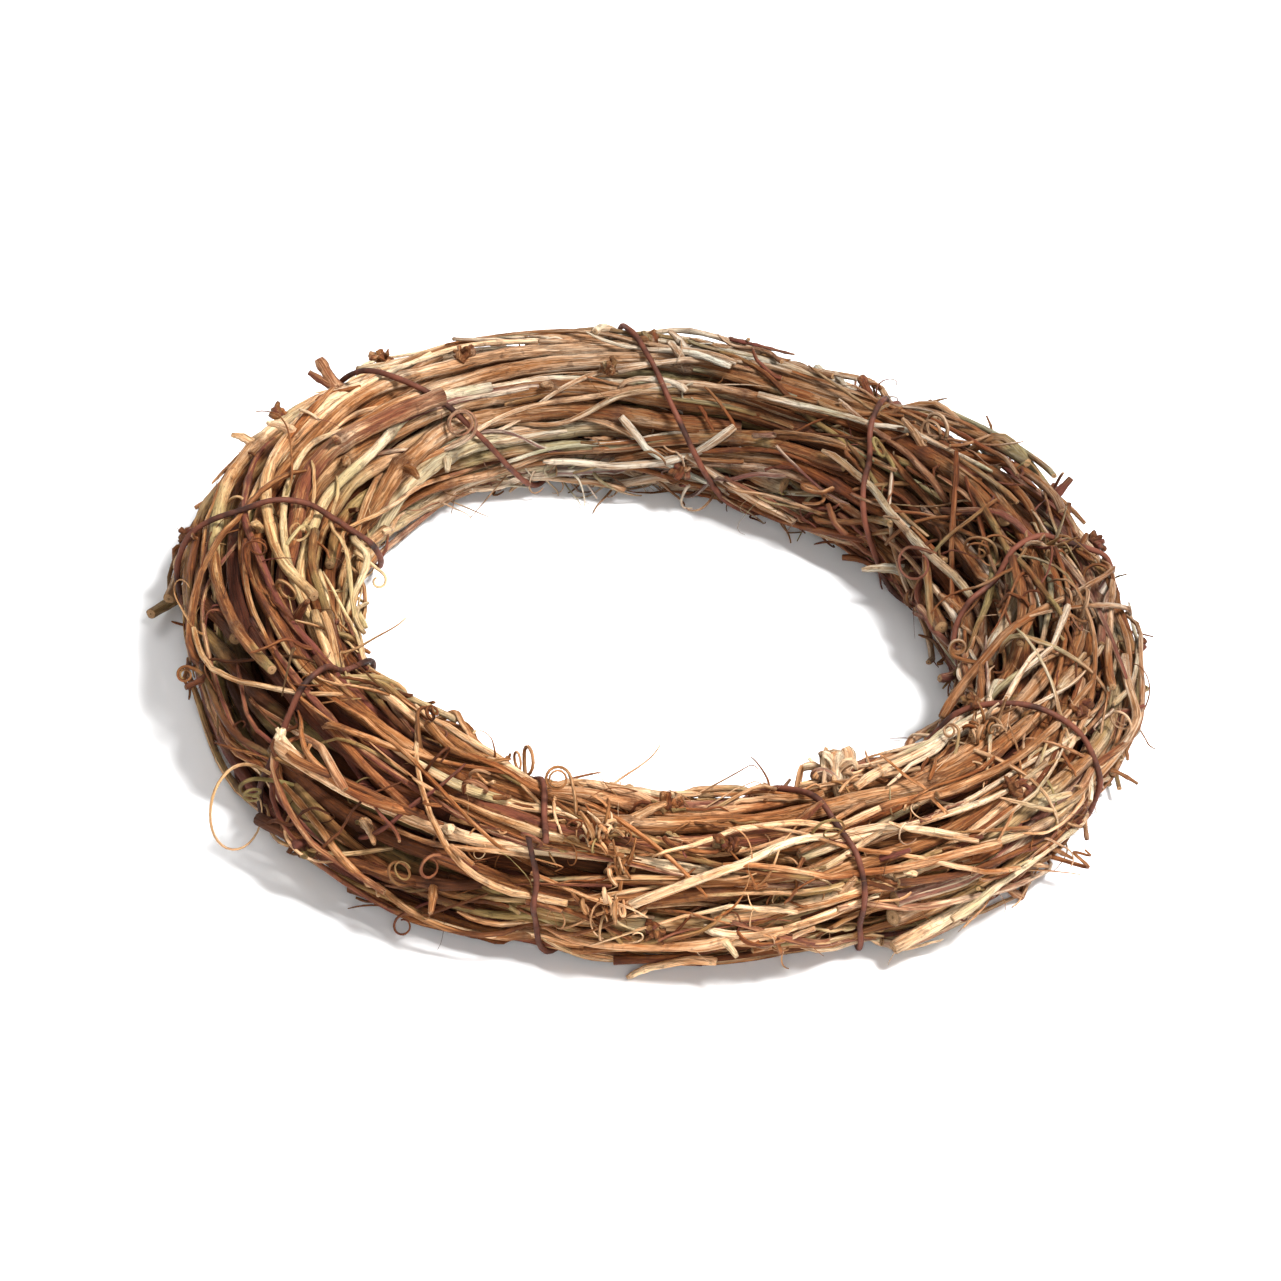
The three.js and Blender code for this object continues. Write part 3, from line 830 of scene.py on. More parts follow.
def tubes(points: Array, radii: Array, reference: Array, tint: Array, section: Section, along: Array,
          rng: np.random.Generator, cut: Span = (0.0, 1.0)) -> Surface:
    """Makes closed tubes round centrelines.

    At each point the section lies across the centreline: radius * relief * (side cos t + up sin t), where
    relief is 1 plus ridges that wind slowly along the tube. Each end has a smaller ring just past it and a
    pole past that.

    Args:
        points: The centrelines, m by n by 3.
        radii: Their radii, m by n.
        reference: A way that is never along a centreline, which the sections are turned by, m by n by 3.
        tint: What the bark's colour reads, m by n by 4.
        section: The section's form.
        along: Where each tube starts in the bark's pattern, m of them.
        rng: The random numbers for the ridges.
        cut: How much of a cut the first and the last end show.

    Returns:
        The tubes' surfaces.
    """
    m, n, _ = points.shape
    tangent = unit(np.gradient(points, axis=1))
    side = unit(np.cross(reference, tangent))
    up = np.cross(tangent, side)
    steps = np.linalg.norm(np.diff(points, axis=1), axis=2)
    run = np.concatenate([np.zeros((m, 1)), np.cumsum(steps, axis=1)], axis=1) + along[:, None]
    rows = np.concatenate([[0], np.arange(n), [n - 1]])
    past = np.zeros(n + 2)
    past[[0, -1]] = -section.dome * 0.7, section.dome * 0.7
    shrink = np.ones(n + 2)
    shrink[[0, -1]] = section.rim
    angle = TAU * np.arange(section.sides) / section.sides
    relief = np.ones((m, n, section.sides))
    for waves, height in zip((2, 3, 5), section.ridges):
        phase = rng.uniform(0, TAU, (m, 1, 1)) + run[:, :, None] * rng.uniform(-0.12, 0.12, (m, 1, 1))
        relief = relief + height * np.sin(waves * angle + phase)
    ring = radii[:, rows] * shrink
    middle = points[:, rows] + tangent[:, rows] * (past * radii[:, rows])[:, :, None]
    wide = (ring[:, :, None] * relief[:, rows]) * np.cos(angle)
    thick = (ring[:, :, None] * relief[:, rows]) * np.sin(angle) * section.flatness
    walls = middle[:, :, None] + wide[..., None] * side[:, rows, None] + thick[..., None] * up[:, rows, None]
    ends = points[:, [0, -1]] + tangent[:, [0, -1]] * (
        np.array([-1, 1]) * section.dome * radii[:, [0, -1]]
    )[:, :, None]
    grain = np.stack([wide, thick, np.broadcast_to(run[:, rows, None], wide.shape)], axis=-1)
    end_grain = np.zeros((m, 2, 3))
    end_grain[:, :, 2] = run[:, [0, -1]]
    colours = np.broadcast_to(tint[:, rows, None], (m, n + 2, section.sides, 4)).copy()
    colours[:, 0, :, 3] = cut[0]
    colours[:, -1, :, 3] = cut[1]
    end_colours = tint[:, [0, -1]].copy()
    end_colours[:, :, 3] = cut
    count = (n + 2) * section.sides
    grid = np.arange(count).reshape(n + 2, section.sides)
    turned = np.roll(grid, -1, axis=1)
    quads = np.stack([grid[:-1], turned[:-1], turned[1:], grid[1:]], axis=-1).reshape(-1, 4)
    first = np.stack([np.full(section.sides, count), turned[0], grid[0]], axis=-1)
    last = np.stack([np.full(section.sides, count + 1), grid[-1], turned[-1]], axis=-1)
    fans = np.concatenate([first, last])
    offset = np.arange(m)[:, None, None] * (count + 2)

    def packed(sides: Array, poles: Array) -> Array:
        """Returns what is known of the rings and of the two poles in one row for each corner."""
        return np.concatenate([sides.reshape(m, count, -1), poles], axis=1).reshape(m * (count + 2), -1)

    return Surface(
        packed(walls, ends),
        (quads[None] + offset).reshape(-1, 4),
        (fans[None] + offset).reshape(-1, 3),
        packed(grain, end_grain),
        packed(colours, end_colours),
    )


@dataclass
class Strand:
    """A stem's fine centreline, or several in a row, as what grows there reads it."""

    points: Array
    radii: Array
    outward: Array  # the way out of the bundle at each point
    onward: Array  # the way on along the stem
    depth: Array  # how deep in the bundle each point lies, from 0 at its surface to 1 at its middle

    @staticmethod
    def joined(strands: list[Strand]) -> Strand:
        """Returns several centrelines in a row."""
        return Strand(*map(np.concatenate, zip(*(vars(strand).values() for strand in strands))))


@dataclass(frozen=True)
class Tie:
    """The wire, as what holds down the small things that lie where it passes."""

    bundle: Bundle
    wire: Wire
    reach: Array  # how far out of the bundle's middle it lies, at equal steps of bearing from its first end
    breadth: float = 3.6  # how far to either side of it a stem is drawn down

    @staticmethod
    def of(wreath: Wreath, finer: int = 4) -> Tie:
        """Reads the reach off the wire's course."""
        _, u, v = wreath.bundle.section(smooth_course(wreath.wire_points, finer))
        return Tie(wreath.bundle, wreath.wire, np.hypot(u, v))

    def under(self, points: Array, radii: Array) -> Array:
        """Draws centrelines down so that they pass under the wire.

        A point d from the wire, and higher than it may lie under the wire by h, comes down by
        h * exp(-(d / breadth)^2).

        Args:
            points: Points of centrelines.
            radii: Their radii.

        Returns:
            The points, moved.
        """
        angle, u, v = self.bundle.section(points)
        out, bearing = np.hypot(u, v) + TINY, np.arctan2(v, u)
        turned = (bearing - self.wire.tail_bearing) % TAU
        pitch = TAU / self.bundle.wraps
        passes = (self.bundle.wire_pass(turned + self.wire.tail_bearing) - angle) / pitch
        turn = np.round(passes)
        share = (turned / TAU + turn % self.bundle.wraps) / self.bundle.wraps
        reach = self.reach[np.round(share * (len(self.reach) - 1)).astype(int)]
        off = (passes - turn) * pitch * (self.bundle.ring_radius + u)
        over = np.maximum(out - (reach - self.wire.radius - 0.8 * radii), 0)
        lower = out - np.minimum(over, 4) * bump(off, 0, self.breadth)
        return self.bundle.place(angle, u * lower / out, v * lower / out)


def bell(angle: Array, middle: float, width: float) -> Array:
    """Returns the bump round a middle angle at other angles. The middle and the width are in degrees."""
    return bump((np.degrees(angle) - middle + 180) % 360 - 180, 0, width)


def mess(angle: Array) -> Array:
    """Returns how messy the wreath is at an angle round it. At the back left long canes lie side by side."""
    return 1 - 0.9 * bell(angle, 138, 58)


def painted_shade_by_place(angle: Array, outward: Array) -> Array:
    """Tells how much darker the bark is than its own tone.

    It is painted darker outside at the left and inside at the back right, as painted shade, and lighter at
    the back left, as a painted highlight. It is also darker at the right. Each of these is a bell round the
    ring.

    Args:
        angle: The angle round the ring.
        outward: How far outwards of the bundle's middle the place is.

    Returns:
        What is taken from the bark's tone.
    """
    # Bells of painted shade outside at the left and inside at the back right, a painted highlight at the back
    # left, and a darkening at the right.
    outside = np.clip(0.5 + outward / 8, 0, 1)
    left = (0.2 + 0.38 * outside) * bell(angle, 218, 42)
    back = 0.26 * (1 - outside) * bell(angle, 42, 34)
    return 0.29 * bell(angle, 30, 48) - 0.21 * bell(angle, 122, 45) + left + back


@dataclass
class StemDresser:
    """Makes stems fine: swollen joints, a slight zigzag, ridges, cut ends and each its own tone."""

    bundle: Bundle
    tie: Tie | None = None  # the wire, if the stems aren't yet settled under it
    steps: int = 8  # rings between one station and the next
    section: Section = Section()
    swelling: float = 0.24  # how much thicker a joint is, as a share of the radius
    joint_reach: float = 0.13  # half length of a joint, in stations
    joint_spacing: float = 4.0  # stations between joints
    zigzag: float = 0.25  # how far the stem swings from side to side at its joints
    wiggle: float = 0.16  # how far it wanders from its settled course besides
    thickening: float = 0.06  # what is added to the radius
    painted_depth_shade: float = 1.4  # painted shade: how much darker the bark is painted towards the bundle's middle, between the stems

    def strand(self, stem: Stem, rng: np.random.Generator) -> tuple[Strand, Array]:
        """Works out a stem's fine centreline.

        The centreline is the smooth curve through its settled places, plus a triangle wave whose corners are
        the joints, plus three sines of random phase.

        Args:
            stem: The stem.
            rng: The random numbers.

        Returns:
            The centreline, and how much each point is a joint.
        """
        places = np.concatenate([self.bundle.points(stem), self.calm(stem.radius)[:, None]], axis=1)
        fine = smooth_course(places, self.steps)
        points, radii = fine[:, :3], fine[:, 3]
        k = np.arange(len(points)) / self.steps
        angle = TAU * (stem.start + k) / self.bundle.stations
        onward = unit(np.gradient(points, axis=0))
        u = np.interp(k, np.arange(len(stem.u)), stem.u)
        v = np.interp(k, np.arange(len(stem.v)), stem.v)
        radial = np.stack([np.cos(angle), np.sin(angle), np.zeros_like(angle)], axis=-1)
        outward = unit(u[:, None] * radial + v[:, None] * UP + TINY)
        depth = 1 - np.clip(np.hypot(u, v) / self.bundle.radius_at(stem.start + k), 0, 1)
        phase = (k - 2) / self.joint_spacing
        swing = 4 * np.abs(phase / 2 - np.floor(phase / 2 + 0.5)) - 1
        way = rng.uniform(0, TAU)
        across = unit(np.cross(outward, onward))
        swung = math.cos(way) * outward + math.sin(way) * across
        moved = points + swung * (self.zigzag * swing)[:, None]
        for stretch in (2.3, 4.1, 7.7):
            lean = rng.uniform(0, TAU, 2)
            moved = moved + outward * (self.wiggle * np.sin(TAU * k / stretch + lean[0]))[:, None]
            moved = moved + across * (self.wiggle * np.sin(TAU * k / stretch + lean[1]))[:, None]
        off = np.abs(phase - np.floor(phase + 0.5)) * self.joint_spacing
        joint = bump(off, 0, self.joint_reach)
        joint[[0, -1]] = 0
        lumps = 1 + 0.05 * np.sin(TAU * k / 0.9 + rng.uniform(0, TAU)) + 0.04 * np.sin(TAU * k / 0.37)
        grown = (radii + self.thickening) * lumps * (1 + self.swelling * joint)
        moved = self.tie.under(moved, grown) if self.tie else moved
        moved[:, 2] = np.maximum(moved[:, 2], grown * 0.85)
        return Strand(moved, grown, outward, onward, depth), joint

    @staticmethod
    def calm(radius: Array) -> Array:
        """Evens out a stem's pinched places with their neighbours, in the shares 1, 2, 1."""
        padded = np.concatenate([radius[:1], radius, radius[-1:]])
        return (padded[:-2] + 2 * padded[1:-1] + padded[2:]) / 4

    def dress(self, stem: Stem, tone: float, hue: float, rng: np.random.Generator) -> tuple[Surface, Strand]:
        """Makes a stem's fine surface.

        Args:
            stem: The stem.
            tone: How light its bark is, from 0 to 1.
            hue: From 0, olive, over 0.5, tan, to 1, maroon.
            rng: The random numbers.

        Returns:
            The surface, and the centreline that it follows.
        """
        strand, joint = self.strand(stem, rng)
        to_end = np.minimum(np.arange(len(joint)), np.arange(len(joint))[::-1]) / self.steps
        joint = np.maximum(joint, 0.75 * bump(to_end, 0, 0.22))
        angle, outward, _ = self.bundle.section(strand.points)
        # The tone is darkened by painted shade deeper in the bundle, and by painted shade and highlight by
        # place round the ring.
        tint = np.stack([
            tone - self.painted_depth_shade * strand.depth - painted_shade_by_place(angle, outward),
            np.full(len(joint), hue),
            joint,
            np.zeros(len(joint)),
        ], axis=-1)
        up = np.broadcast_to(UP, strand.points.shape)
        surface = tubes(strand.points[None], strand.radii[None], up[None], tint[None], self.section,
                        np.array([rng.uniform(0, PATTERN)]), rng, cut=(1.0, 1.0))
        return surface, strand


@dataclass
class Spots:
    """Places on the stems where small things grow or come loose, as whole arrays."""

    middle: Array  # points on the stems' centrelines
    radius: Array  # the stem's radius there
    outward: Array  # the way out of the bundle there
    onward: Array  # the way on along the stem
    across: Array  # the third way, across both

    @staticmethod
    def on(stems: Strand, index: Array) -> Spots:
        """Returns the spots at some of the points of the stems."""
        middle, radius, outward, onward, _ = (row[index] for row in vars(stems).values())
        return Spots(middle, radius, outward, onward, unit(np.cross(outward, onward)))

    @staticmethod
    def drawn(stems: Strand, count: int, rng: np.random.Generator, deepest: float = 0.22,
              lowest: float = 4.0) -> Spots:
        """Draws spots on the stems that lie at the bundle's surface, most of them where it is messy.

        Args:
            stems: The stems' centrelines.
            count: How many to draw.
            rng: The random numbers.
            deepest: How deep in the bundle one may lie.
            lowest: Least height above the surface that the wreath rests on.

        Returns:
            The spots.
        """
        fit = np.flatnonzero((stems.depth < deepest) & (stems.points[:, 2] > lowest))
        weight = mess(np.arctan2(stems.points[fit, 1], stems.points[fit, 0]))
        return Spots.on(stems, rng.choice(fit, count, p=weight / weight.sum()))

    def placed(self, stems: Strand, places: Array, thinnest: float = 0.0) -> Spots:
        """Moves the first spots to the points on the stems that are nearest to given places.

        Args:
            stems: The stems' centrelines.
            places: The places, in the wreath's frame.
            thinnest: Least radius that a stem has there.

        Returns:
            The same spots, which are changed in place.
        """
        away = np.linalg.norm(stems.points - places[:, None], axis=2)
        nearest = Spots.on(stems, np.where(stems.radii < thinnest, np.inf, away).argmin(1))
        for own, new in zip(vars(self).values(), vars(nearest).values()):
            own[: len(places)] = new
        return self

    def repeated(self, times: int) -> Spots:
        """Returns the same spots, each repeated several times in a row."""
        return Spots(*(np.repeat(own, times, axis=0) for own in vars(self).values()))

    def leaning(self, lean: Array, yaw: Array) -> Array:
        """Returns ways that lean away from outwards, towards a bearing yaw from the way on."""
        along = self.onward * np.cos(yaw)[:, None] + self.across * np.sin(yaw)[:, None]
        return self.outward * np.cos(lean)[:, None] + along * np.sin(lean)[:, None]


@dataclass
class Crust:
    """How far out of the bundle's middle its bark reaches, all round the ring and all round the bundle."""

    bundle: Bundle
    reach: Array  # the reach on a grid of angles round the ring by bearings round the bundle

    @staticmethod
    def over(bundle: Bundle, stems: Strand, rows: int = 240, columns: int = 72) -> Crust:
        """Works out the reach of the stems' bark.

        A stem of radius r whose middle is at the bearing b and lies o out reaches o + r sqrt(1 - k^2) at the
        bearing b + k r / o, for k from -0.9 to 0.9. The furthest reach counts.

        Args:
            bundle: The bundle.
            stems: The stems' centrelines.
            rows: Angles of the grid.
            columns: Bearings of the grid.

        Returns:
            The bark.
        """
        angle, u, v = bundle.section(stems.points)
        out, bearing = np.hypot(u, v) + TINY, np.arctan2(v, u)
        crust = Crust(bundle, np.full((rows, columns), 0.8 * bundle.radius))
        for k in np.linspace(-0.9, 0.9, 7):
            cell = crust.cell(angle, bearing + k * stems.radii / out)
            np.maximum.at(crust.reach, cell, out + stems.radii * math.sqrt(1 - k * k))
        return crust

    def cell(self, angle: Array, bearing: Array) -> tuple[Array, ...]:
        """Returns the rows and columns of the grid at angles and bearings."""
        turns = zip((angle, bearing), self.reach.shape)
        return tuple(np.floor(turned / TAU * count).astype(int) % count for turned, count in turns)

    def laid(self, angle: Array, bearing: Array, radius: Array, rounds: int = 60) -> Array:
        """Lays stiff stems on the bark, so that each bridges from one high spot to the next.

        Each point rises to the middle between its neighbours wherever the bark isn't higher.

        Args:
            angle: Angles round the ring, m by n.
            bearing: Bearings round the bundle, m by n.
            radius: Their radii, m by n.
            rounds: How often the points rise.

        Returns:
            Their centrelines, m by n by 3.
        """
        bark = self.reach[self.cell(angle, bearing)] + 0.7 * radius
        out = bark.copy()
        for _ in range(rounds):
            out[:, 1:-1] = np.maximum(bark[:, 1:-1], (out[:, 2:] + out[:, :-2]) / 2 - 0.004)
        out[:, 1:-1] = (out[:, 2:] + 2 * out[:, 1:-1] + out[:, :-2]) / 4
        return self.bundle.place(angle, out * np.cos(bearing), out * np.sin(bearing))


def swept(base: Array, first: Array, second: Array, drift: Array, length: Array, turning: Array) -> Array:
    """Runs curves out from their bases.

    A curve's way at each point is first * cos(turning) + second * sin(turning) + drift, and its points are
    the sum of equal steps along that way.

    Args:
        base: Where they start, m by 3.
        first: The way they set out in.
        second: The way they turn towards.
        drift: A way that is added all along.
        length: Their lengths.
        turning: The angle turned by each point, m by n.

    Returns:
        The curves' points, m by n by 3.
    """
    way = first[:, None] * np.cos(turning)[..., None] + second[:, None] * np.sin(turning)[..., None]
    way = unit(way + drift[:, None])
    steps = (way[:, 1:] + way[:, :-1]) / 2 * (length / (turning.shape[1] - 1))[:, None, None]
    run = np.concatenate([np.zeros_like(base)[:, None], np.cumsum(steps, axis=1)], axis=1)
    return base[:, None] + run


def shades(tone: Array, hue: Array, steps: int, joint: float = 0.0) -> Array:
    """Returns what the bark's colour reads for a number of small things, each the same all over."""
    rows = np.stack([tone, hue, np.full(len(tone), joint), np.zeros(len(tone))], axis=-1)
    return np.repeat(rows[:, None], steps, axis=1)


def given(drawn: Array, known: Sequence[float]) -> Array:
    """Returns drawn numbers with the first ones replaced by known ones, apart from those left as drawn."""
    first = drawn[: len(known)]
    return np.concatenate([np.where(np.isnan(known), first, known), drawn[len(known) :]])


@dataclass(frozen=True)
class Batch:
    """A number of small things of one sort, and the limits that each of them is drawn within."""

    count: int  # how many there are, or how many clumps of them
    steps: int  # points on each
    # Their lengths: a tendril's up to its coil, a strip of bark's in points of the stem under it.
    length: Span
    radius: Span  # their radii at the thick end, or half a strip of bark's width
    tone: Span = (0.1, 0.95)
    hue: Span = (0, 1)
    section: Section = Section(5, ())
    cut: Span = (0, 0)  # how much of a cut the first and the last end show
    bend: Span = (0, 0)  # the angles that they turn by, or a coil's turns
    coil: Span = (0, 0)  # radii of their coils
    lift: Span = (0, 0)  # how far the loose ends of strips stand off
    dark: float = 0.0  # how much they are as dark as a joint
    # As a standard deviation, a laid twig's slant in radians or how far apart a clump's bits are.
    spread: float = 0.0
    bits: int = 1  # things in each clump
    places: Sequence[tuple[float, ...]] = ()  # where the first clumps are


# Place, the coil's radius and turns, and tone.
PLACED_CURLS = np.array([
    (137, 150, 11, 2.2, AS_DRAWN, 0.6),
    (24, 150, 11, 2.4, AS_DRAWN, 0.7),
    (223, 15, 13, 6.0, 1.0, 1.2),
    (226, -5, 13, 4.4, 0.9, 1.2),
    (18, 125, 11, 2.0, AS_DRAWN, AS_DRAWN),
    (12, 100, 11, 2.3, AS_DRAWN, AS_DRAWN),
    (262, 75, 12, 1.6, AS_DRAWN, AS_DRAWN),
    (266, 60, 12, 1.2, AS_DRAWN, AS_DRAWN),
    (259, 50, 12, 1.4, AS_DRAWN, AS_DRAWN),
    (254, 20, 12, 1.8, AS_DRAWN, AS_DRAWN),
    (9, 30, 11, 1.9, AS_DRAWN, AS_DRAWN),
    (345, 20, 11, 1.7, AS_DRAWN, AS_DRAWN),
])

# Place, lean, radius, length, tone and hue.
PLACED_SHOOTS = np.array([
    (140, 45, 12, 0.05, 0.95, 5.0, 0.3, 0.85),
    (140, 45, 12, 0.5, 0.6, 4.6, 0.25, 0.9),
    (131, 45, 12, 0.2, 0.8, 3.0, 0.6, 0.6),
    (303, 116, 12, 0.25, 1.3, 4.4, 0.95, 0.45),
    (60, 70, 12, 0.4, 0.75, 4.6, 0.3, 0.8),
    (31, 36, 12, 0.1, 0.7, 5.2, 0.35, 0.9),
    (31, 36, 12, 0.55, 0.45, 3.8, 0.3, 0.8),
    (350, 30, 12, 0.3, 0.5, 4.0, 0.4, 0.9),
])

TORN = ((131, 45, 12), (125, 70, 12), (176, 15, 12), (42, 58, 12), (95, 85, 12), (150, 35, 12))
STUMP = ((301, 120, 13), (303, 118, 13))
CLUMPS = ((268, 48, 12), (270, 40, 12), (266, 56, 12), (268, 18, 12), (15, 80, 12), (330, 95, 12))


@dataclass
class Trimmings:
    """The small things on the bundle, each sort a batch of tubes."""

    strands: list[Strand]  # the stems that they are on
    tie: Tie  # the wire over them
    rng: np.random.Generator
    ceiling: float = 27.5  # no centreline goes higher than this
    least_height: float = 0.4  # nor lower than this
    stout: float = 0.8  # least radius of a stem that a clump or a placed shoot grows on

    def __post_init__(self) -> None:
        """Works out the bark that the things lie on."""
        self.bundle = self.tie.bundle
        self.stems = Strand.joined(self.strands)
        self.crust = Crust.over(self.bundle, self.stems)

    def column(self, limits: Span, count: int) -> Array:
        """Returns a number drawn within limits for each of a number of things, as a column."""
        return self.rng.uniform(*limits, count)[:, None]

    def varied(self, spread: float, count: int) -> Array:
        """Returns a number drawn round nought for each of a number of things, as a column."""
        return self.rng.normal(0, spread, count)[:, None]

    def bases(self, spots: Spots, way: Array) -> Array:
        """Returns points just inside the stems' bark, towards a way."""
        return spots.middle + way * (spots.radius * 0.6)[:, None]

    def capped(self, points: Array) -> Array:
        """Bends what would stand too high down again: past 2 mm below the ceiling, height is squeezed.

        Args:
            points: Points of centrelines, which are changed in place.

        Returns:
            The same points.
        """
        soft = self.ceiling - 2
        over = np.maximum(points[..., 2] - soft, 0)
        points[..., 2] = np.where(over > 0, soft + 2 * np.tanh(over / 2), points[..., 2])
        points[..., 2] = np.maximum(points[..., 2], self.least_height)
        return points

    def colours(self, batch: Batch, count: int, tones: Sequence[float] = (),
                hues: Sequence[float] = ()) -> Array:
        """Draws the colours of a batch, with the first tones and hues as they are given."""
        tone = given(self.rng.uniform(*batch.tone, count), tones)
        return shades(tone, given(self.rng.uniform(*batch.hue, count), hues), batch.steps, batch.dark)

    def tubed(self, batch: Batch, points: Array, radii: Array, reference: Array, tint: Array) -> Surface:
        """Makes tubes of a batch of centrelines, each somewhere else in the bark's pattern.

        Args:
            batch: What they are.
            points: Their centrelines.
            radii: Their radii.
            reference: For each a way that it is never along.
            tint: What the bark's colour reads at each point.

        Returns:
            Their surfaces.
        """
        along = self.rng.uniform(0, PATTERN, len(points))
        wide = np.broadcast_to(reference[:, None], points.shape)
        angle, outward, _ = self.bundle.section(points[:, :1])
        # Painted shade and highlight by place round the ring are taken off the tone.
        tint[..., 0] -= painted_shade_by_place(angle, outward)
        return tubes(self.capped(points), radii, wide, tint, batch.section, along, self.rng, batch.cut)

    def at(self, places: Sequence[Sequence[float]]) -> Array:
        """Works out where the places of a table are in the wreath's frame.

        Args:
            places: Its rows, which start with the angle round the ring, the bearing round the bundle, both in
                degrees, and how far out of the bundle's middle the place is.

        Returns:
            The points.
        """
        rows = np.array(places, float)
        angle, bearing, out = np.radians(rows[:, 0]), np.radians(rows[:, 1]), rows[:, 2]
        return self.bundle.place(angle, out * np.cos(bearing), out * np.sin(bearing))

    def laid_twigs(self, batch: Batch) -> Surface:
        """Makes short cut twigs that lie across the stems on the bundle's surface, most where it is messy.

        Each runs on in equal steps, whose heading turns a little at most points and more at a few.

        Args:
            batch: What they are.

        Returns:
            Their surfaces.
        """
        tries = self.rng.uniform(0, TAU, 12 * batch.count)
        middle = tries[self.rng.random(len(tries)) < mess(tries) ** 2 * 0.8][: batch.count]
        count, steps = len(middle), batch.steps
        share = np.linspace(0, 1, steps)
        lengths = self.rng.uniform(*batch.length, count)
        turned = self.rng.normal(size=(count, steps))
        turned = turned * np.where(self.rng.random((count, steps)) < 0.12, 0.17, 0.03)
        heading = self.varied(batch.spread, count) + np.cumsum(turned, axis=1)
        heading = heading + self.varied(0.5, count) * (share - 0.5)
        sense = np.where(self.rng.random(count) < 0.5, -1, 1)[:, None]
        stride = (lengths / (steps - 1))[:, None]
        onward = sense * np.cumsum(np.cos(heading), axis=1) * stride / self.bundle.ring_radius
        sideways = np.cumsum(np.sin(heading), axis=1) * stride / self.bundle.radius
        angle, bearing = middle[:, None] + onward, self.column((-0.75, 3.9), count) + sideways
        taper = 1 - self.column((0.3, 0.7), count) * share
        joints = 1 + 0.25 * bump(share, self.column((0.2, 0.8), count), 0.03)
        radii = self.column(batch.radius, count) * taper * joints
        radii[:, 0] *= 0.8
        radii[:, -1] *= 0.55
        points = self.crust.laid(angle, bearing, radii)
        away = unit(points - self.bundle.place(angle, 0, 0))
        lifts = self.rng.uniform(0, 1, (2, count))[:, :, None] ** 2 * 2.2
        free = lifts[0] * np.maximum(0, 1 - share / 0.3) ** 2
        free = free + lifts[1] * np.maximum(0, share / 0.3 - 7 / 3) ** 2
        points = self.tie.under(points + away * free[..., None], radii)
        return self.tubed(batch, points, radii, unit(away.mean(1)), self.colours(batch, count))

    def curls(self, batch: Batch) -> Surface:
        """Makes dried tendrils, which leave their stem nearly straight and end in a coil.

        Args:
            batch: What they are.

        Returns:
            Their surfaces.
        """
        count, placed = batch.count, len(PLACED_CURLS)
        spots = Spots.drawn(self.stems, count, self.rng).placed(self.stems, self.at(PLACED_CURLS))
        first = spots.leaning(self.rng.uniform(0.2, 1.2, count), self.rng.uniform(0, TAU, count))
        normal = unit(self.rng.normal(size=(count, 3)))
        normal[:placed] = normal[:placed] * 0.3 + np.array([0, 0.8, -0.6])
        second = unit(np.cross(first, normal))
        drift = np.cross(first, second) * self.column((-0.22, 0.22), count)
        turns = given(self.rng.uniform(*batch.bend, count), PLACED_CURLS[:, 4])
        coil = given(self.rng.uniform(*batch.coil, count), PLACED_CURLS[:, 3])
        stalk = self.rng.uniform(*batch.length, count)
        wound = TAU * turns * coil * 0.8
        share = np.linspace(0, 1, batch.steps)
        straight = (stalk / (stalk + wound))[:, None]
        winding = np.clip((share - straight) / (1 - straight), 0, 1)
        turning = TAU * turns[:, None] * winding**1.25 + 0.3 * np.sin(5 * share)
        points = swept(self.bases(spots, first), first, second, drift, stalk + wound, turning)
        radii = self.column(batch.radius, count) * (1 - 0.55 * share)
        tint = self.colours(batch, count, PLACED_CURLS[:, 5])
        return self.tubed(batch, points, radii, np.cross(first, second), tint)

    def wisps(self, batch: Batch) -> Surface:
        """Makes thin loose ends all over the bundle."""
        return self.arcs(batch, Spots.drawn(self.stems, batch.count, self.rng))

    def fringe(self, batch: Batch) -> Surface:
        """Makes the crooked ends that hang in a fringe from the bundle's inner side at the back.

        Args:
            batch: What they are.

        Returns:
            Their surfaces.
        """
        angle, u, v = self.bundle.section(self.stems.points)
        weight = bell(angle, 95, 46) * (u < -4) * (v < -3.5)
        spots = Spots.on(self.stems, self.rng.choice(len(angle), batch.count, p=weight / weight.sum()))
        spots.outward = unit(spots.outward * np.array([1, 1, 0.25]))
        spots.across = unit(np.cross(spots.outward, spots.onward))
        return self.arcs(batch, spots)

    def arcs(self, batch: Batch, spots: Spots) -> Surface:
        """Makes thin ends that leave their spots along a stem and arc away from it.

        Args:
            batch: What they are.
            spots: Where they start.

        Returns:
            Their surfaces.
        """
        count = batch.count
        sense = self.rng.choice([-1.0, 1.0], count)[:, None]
        lean = self.column((0.15, 0.8), count)
        slant = self.varied(0.45, count)
        leaning = spots.onward * sense * np.cos(lean) + spots.outward * np.sin(lean)
        first = unit(leaning + spots.across * slant)
        inward = -spots.outward + self.rng.normal(0, 0.8, (count, 3))
        second = unit(inward - first * (inward * first).sum(1, keepdims=True))
        share = np.linspace(0, 1, batch.steps)
        turning = self.column(batch.bend, count) * share**1.4
        turning = turning + 0.35 * np.sin(share * self.column((4, 9), count))
        drift = self.rng.normal(0, 0.2, (count, 3))
        lengths = self.rng.uniform(*batch.length, count)
        points = swept(self.bases(spots, spots.outward), first, second, drift, lengths, turning)
        radii = self.column(batch.radius, count) * (1 - 0.6 * share)
        return self.tubed(batch, points, radii, np.cross(first, second), self.colours(batch, count))

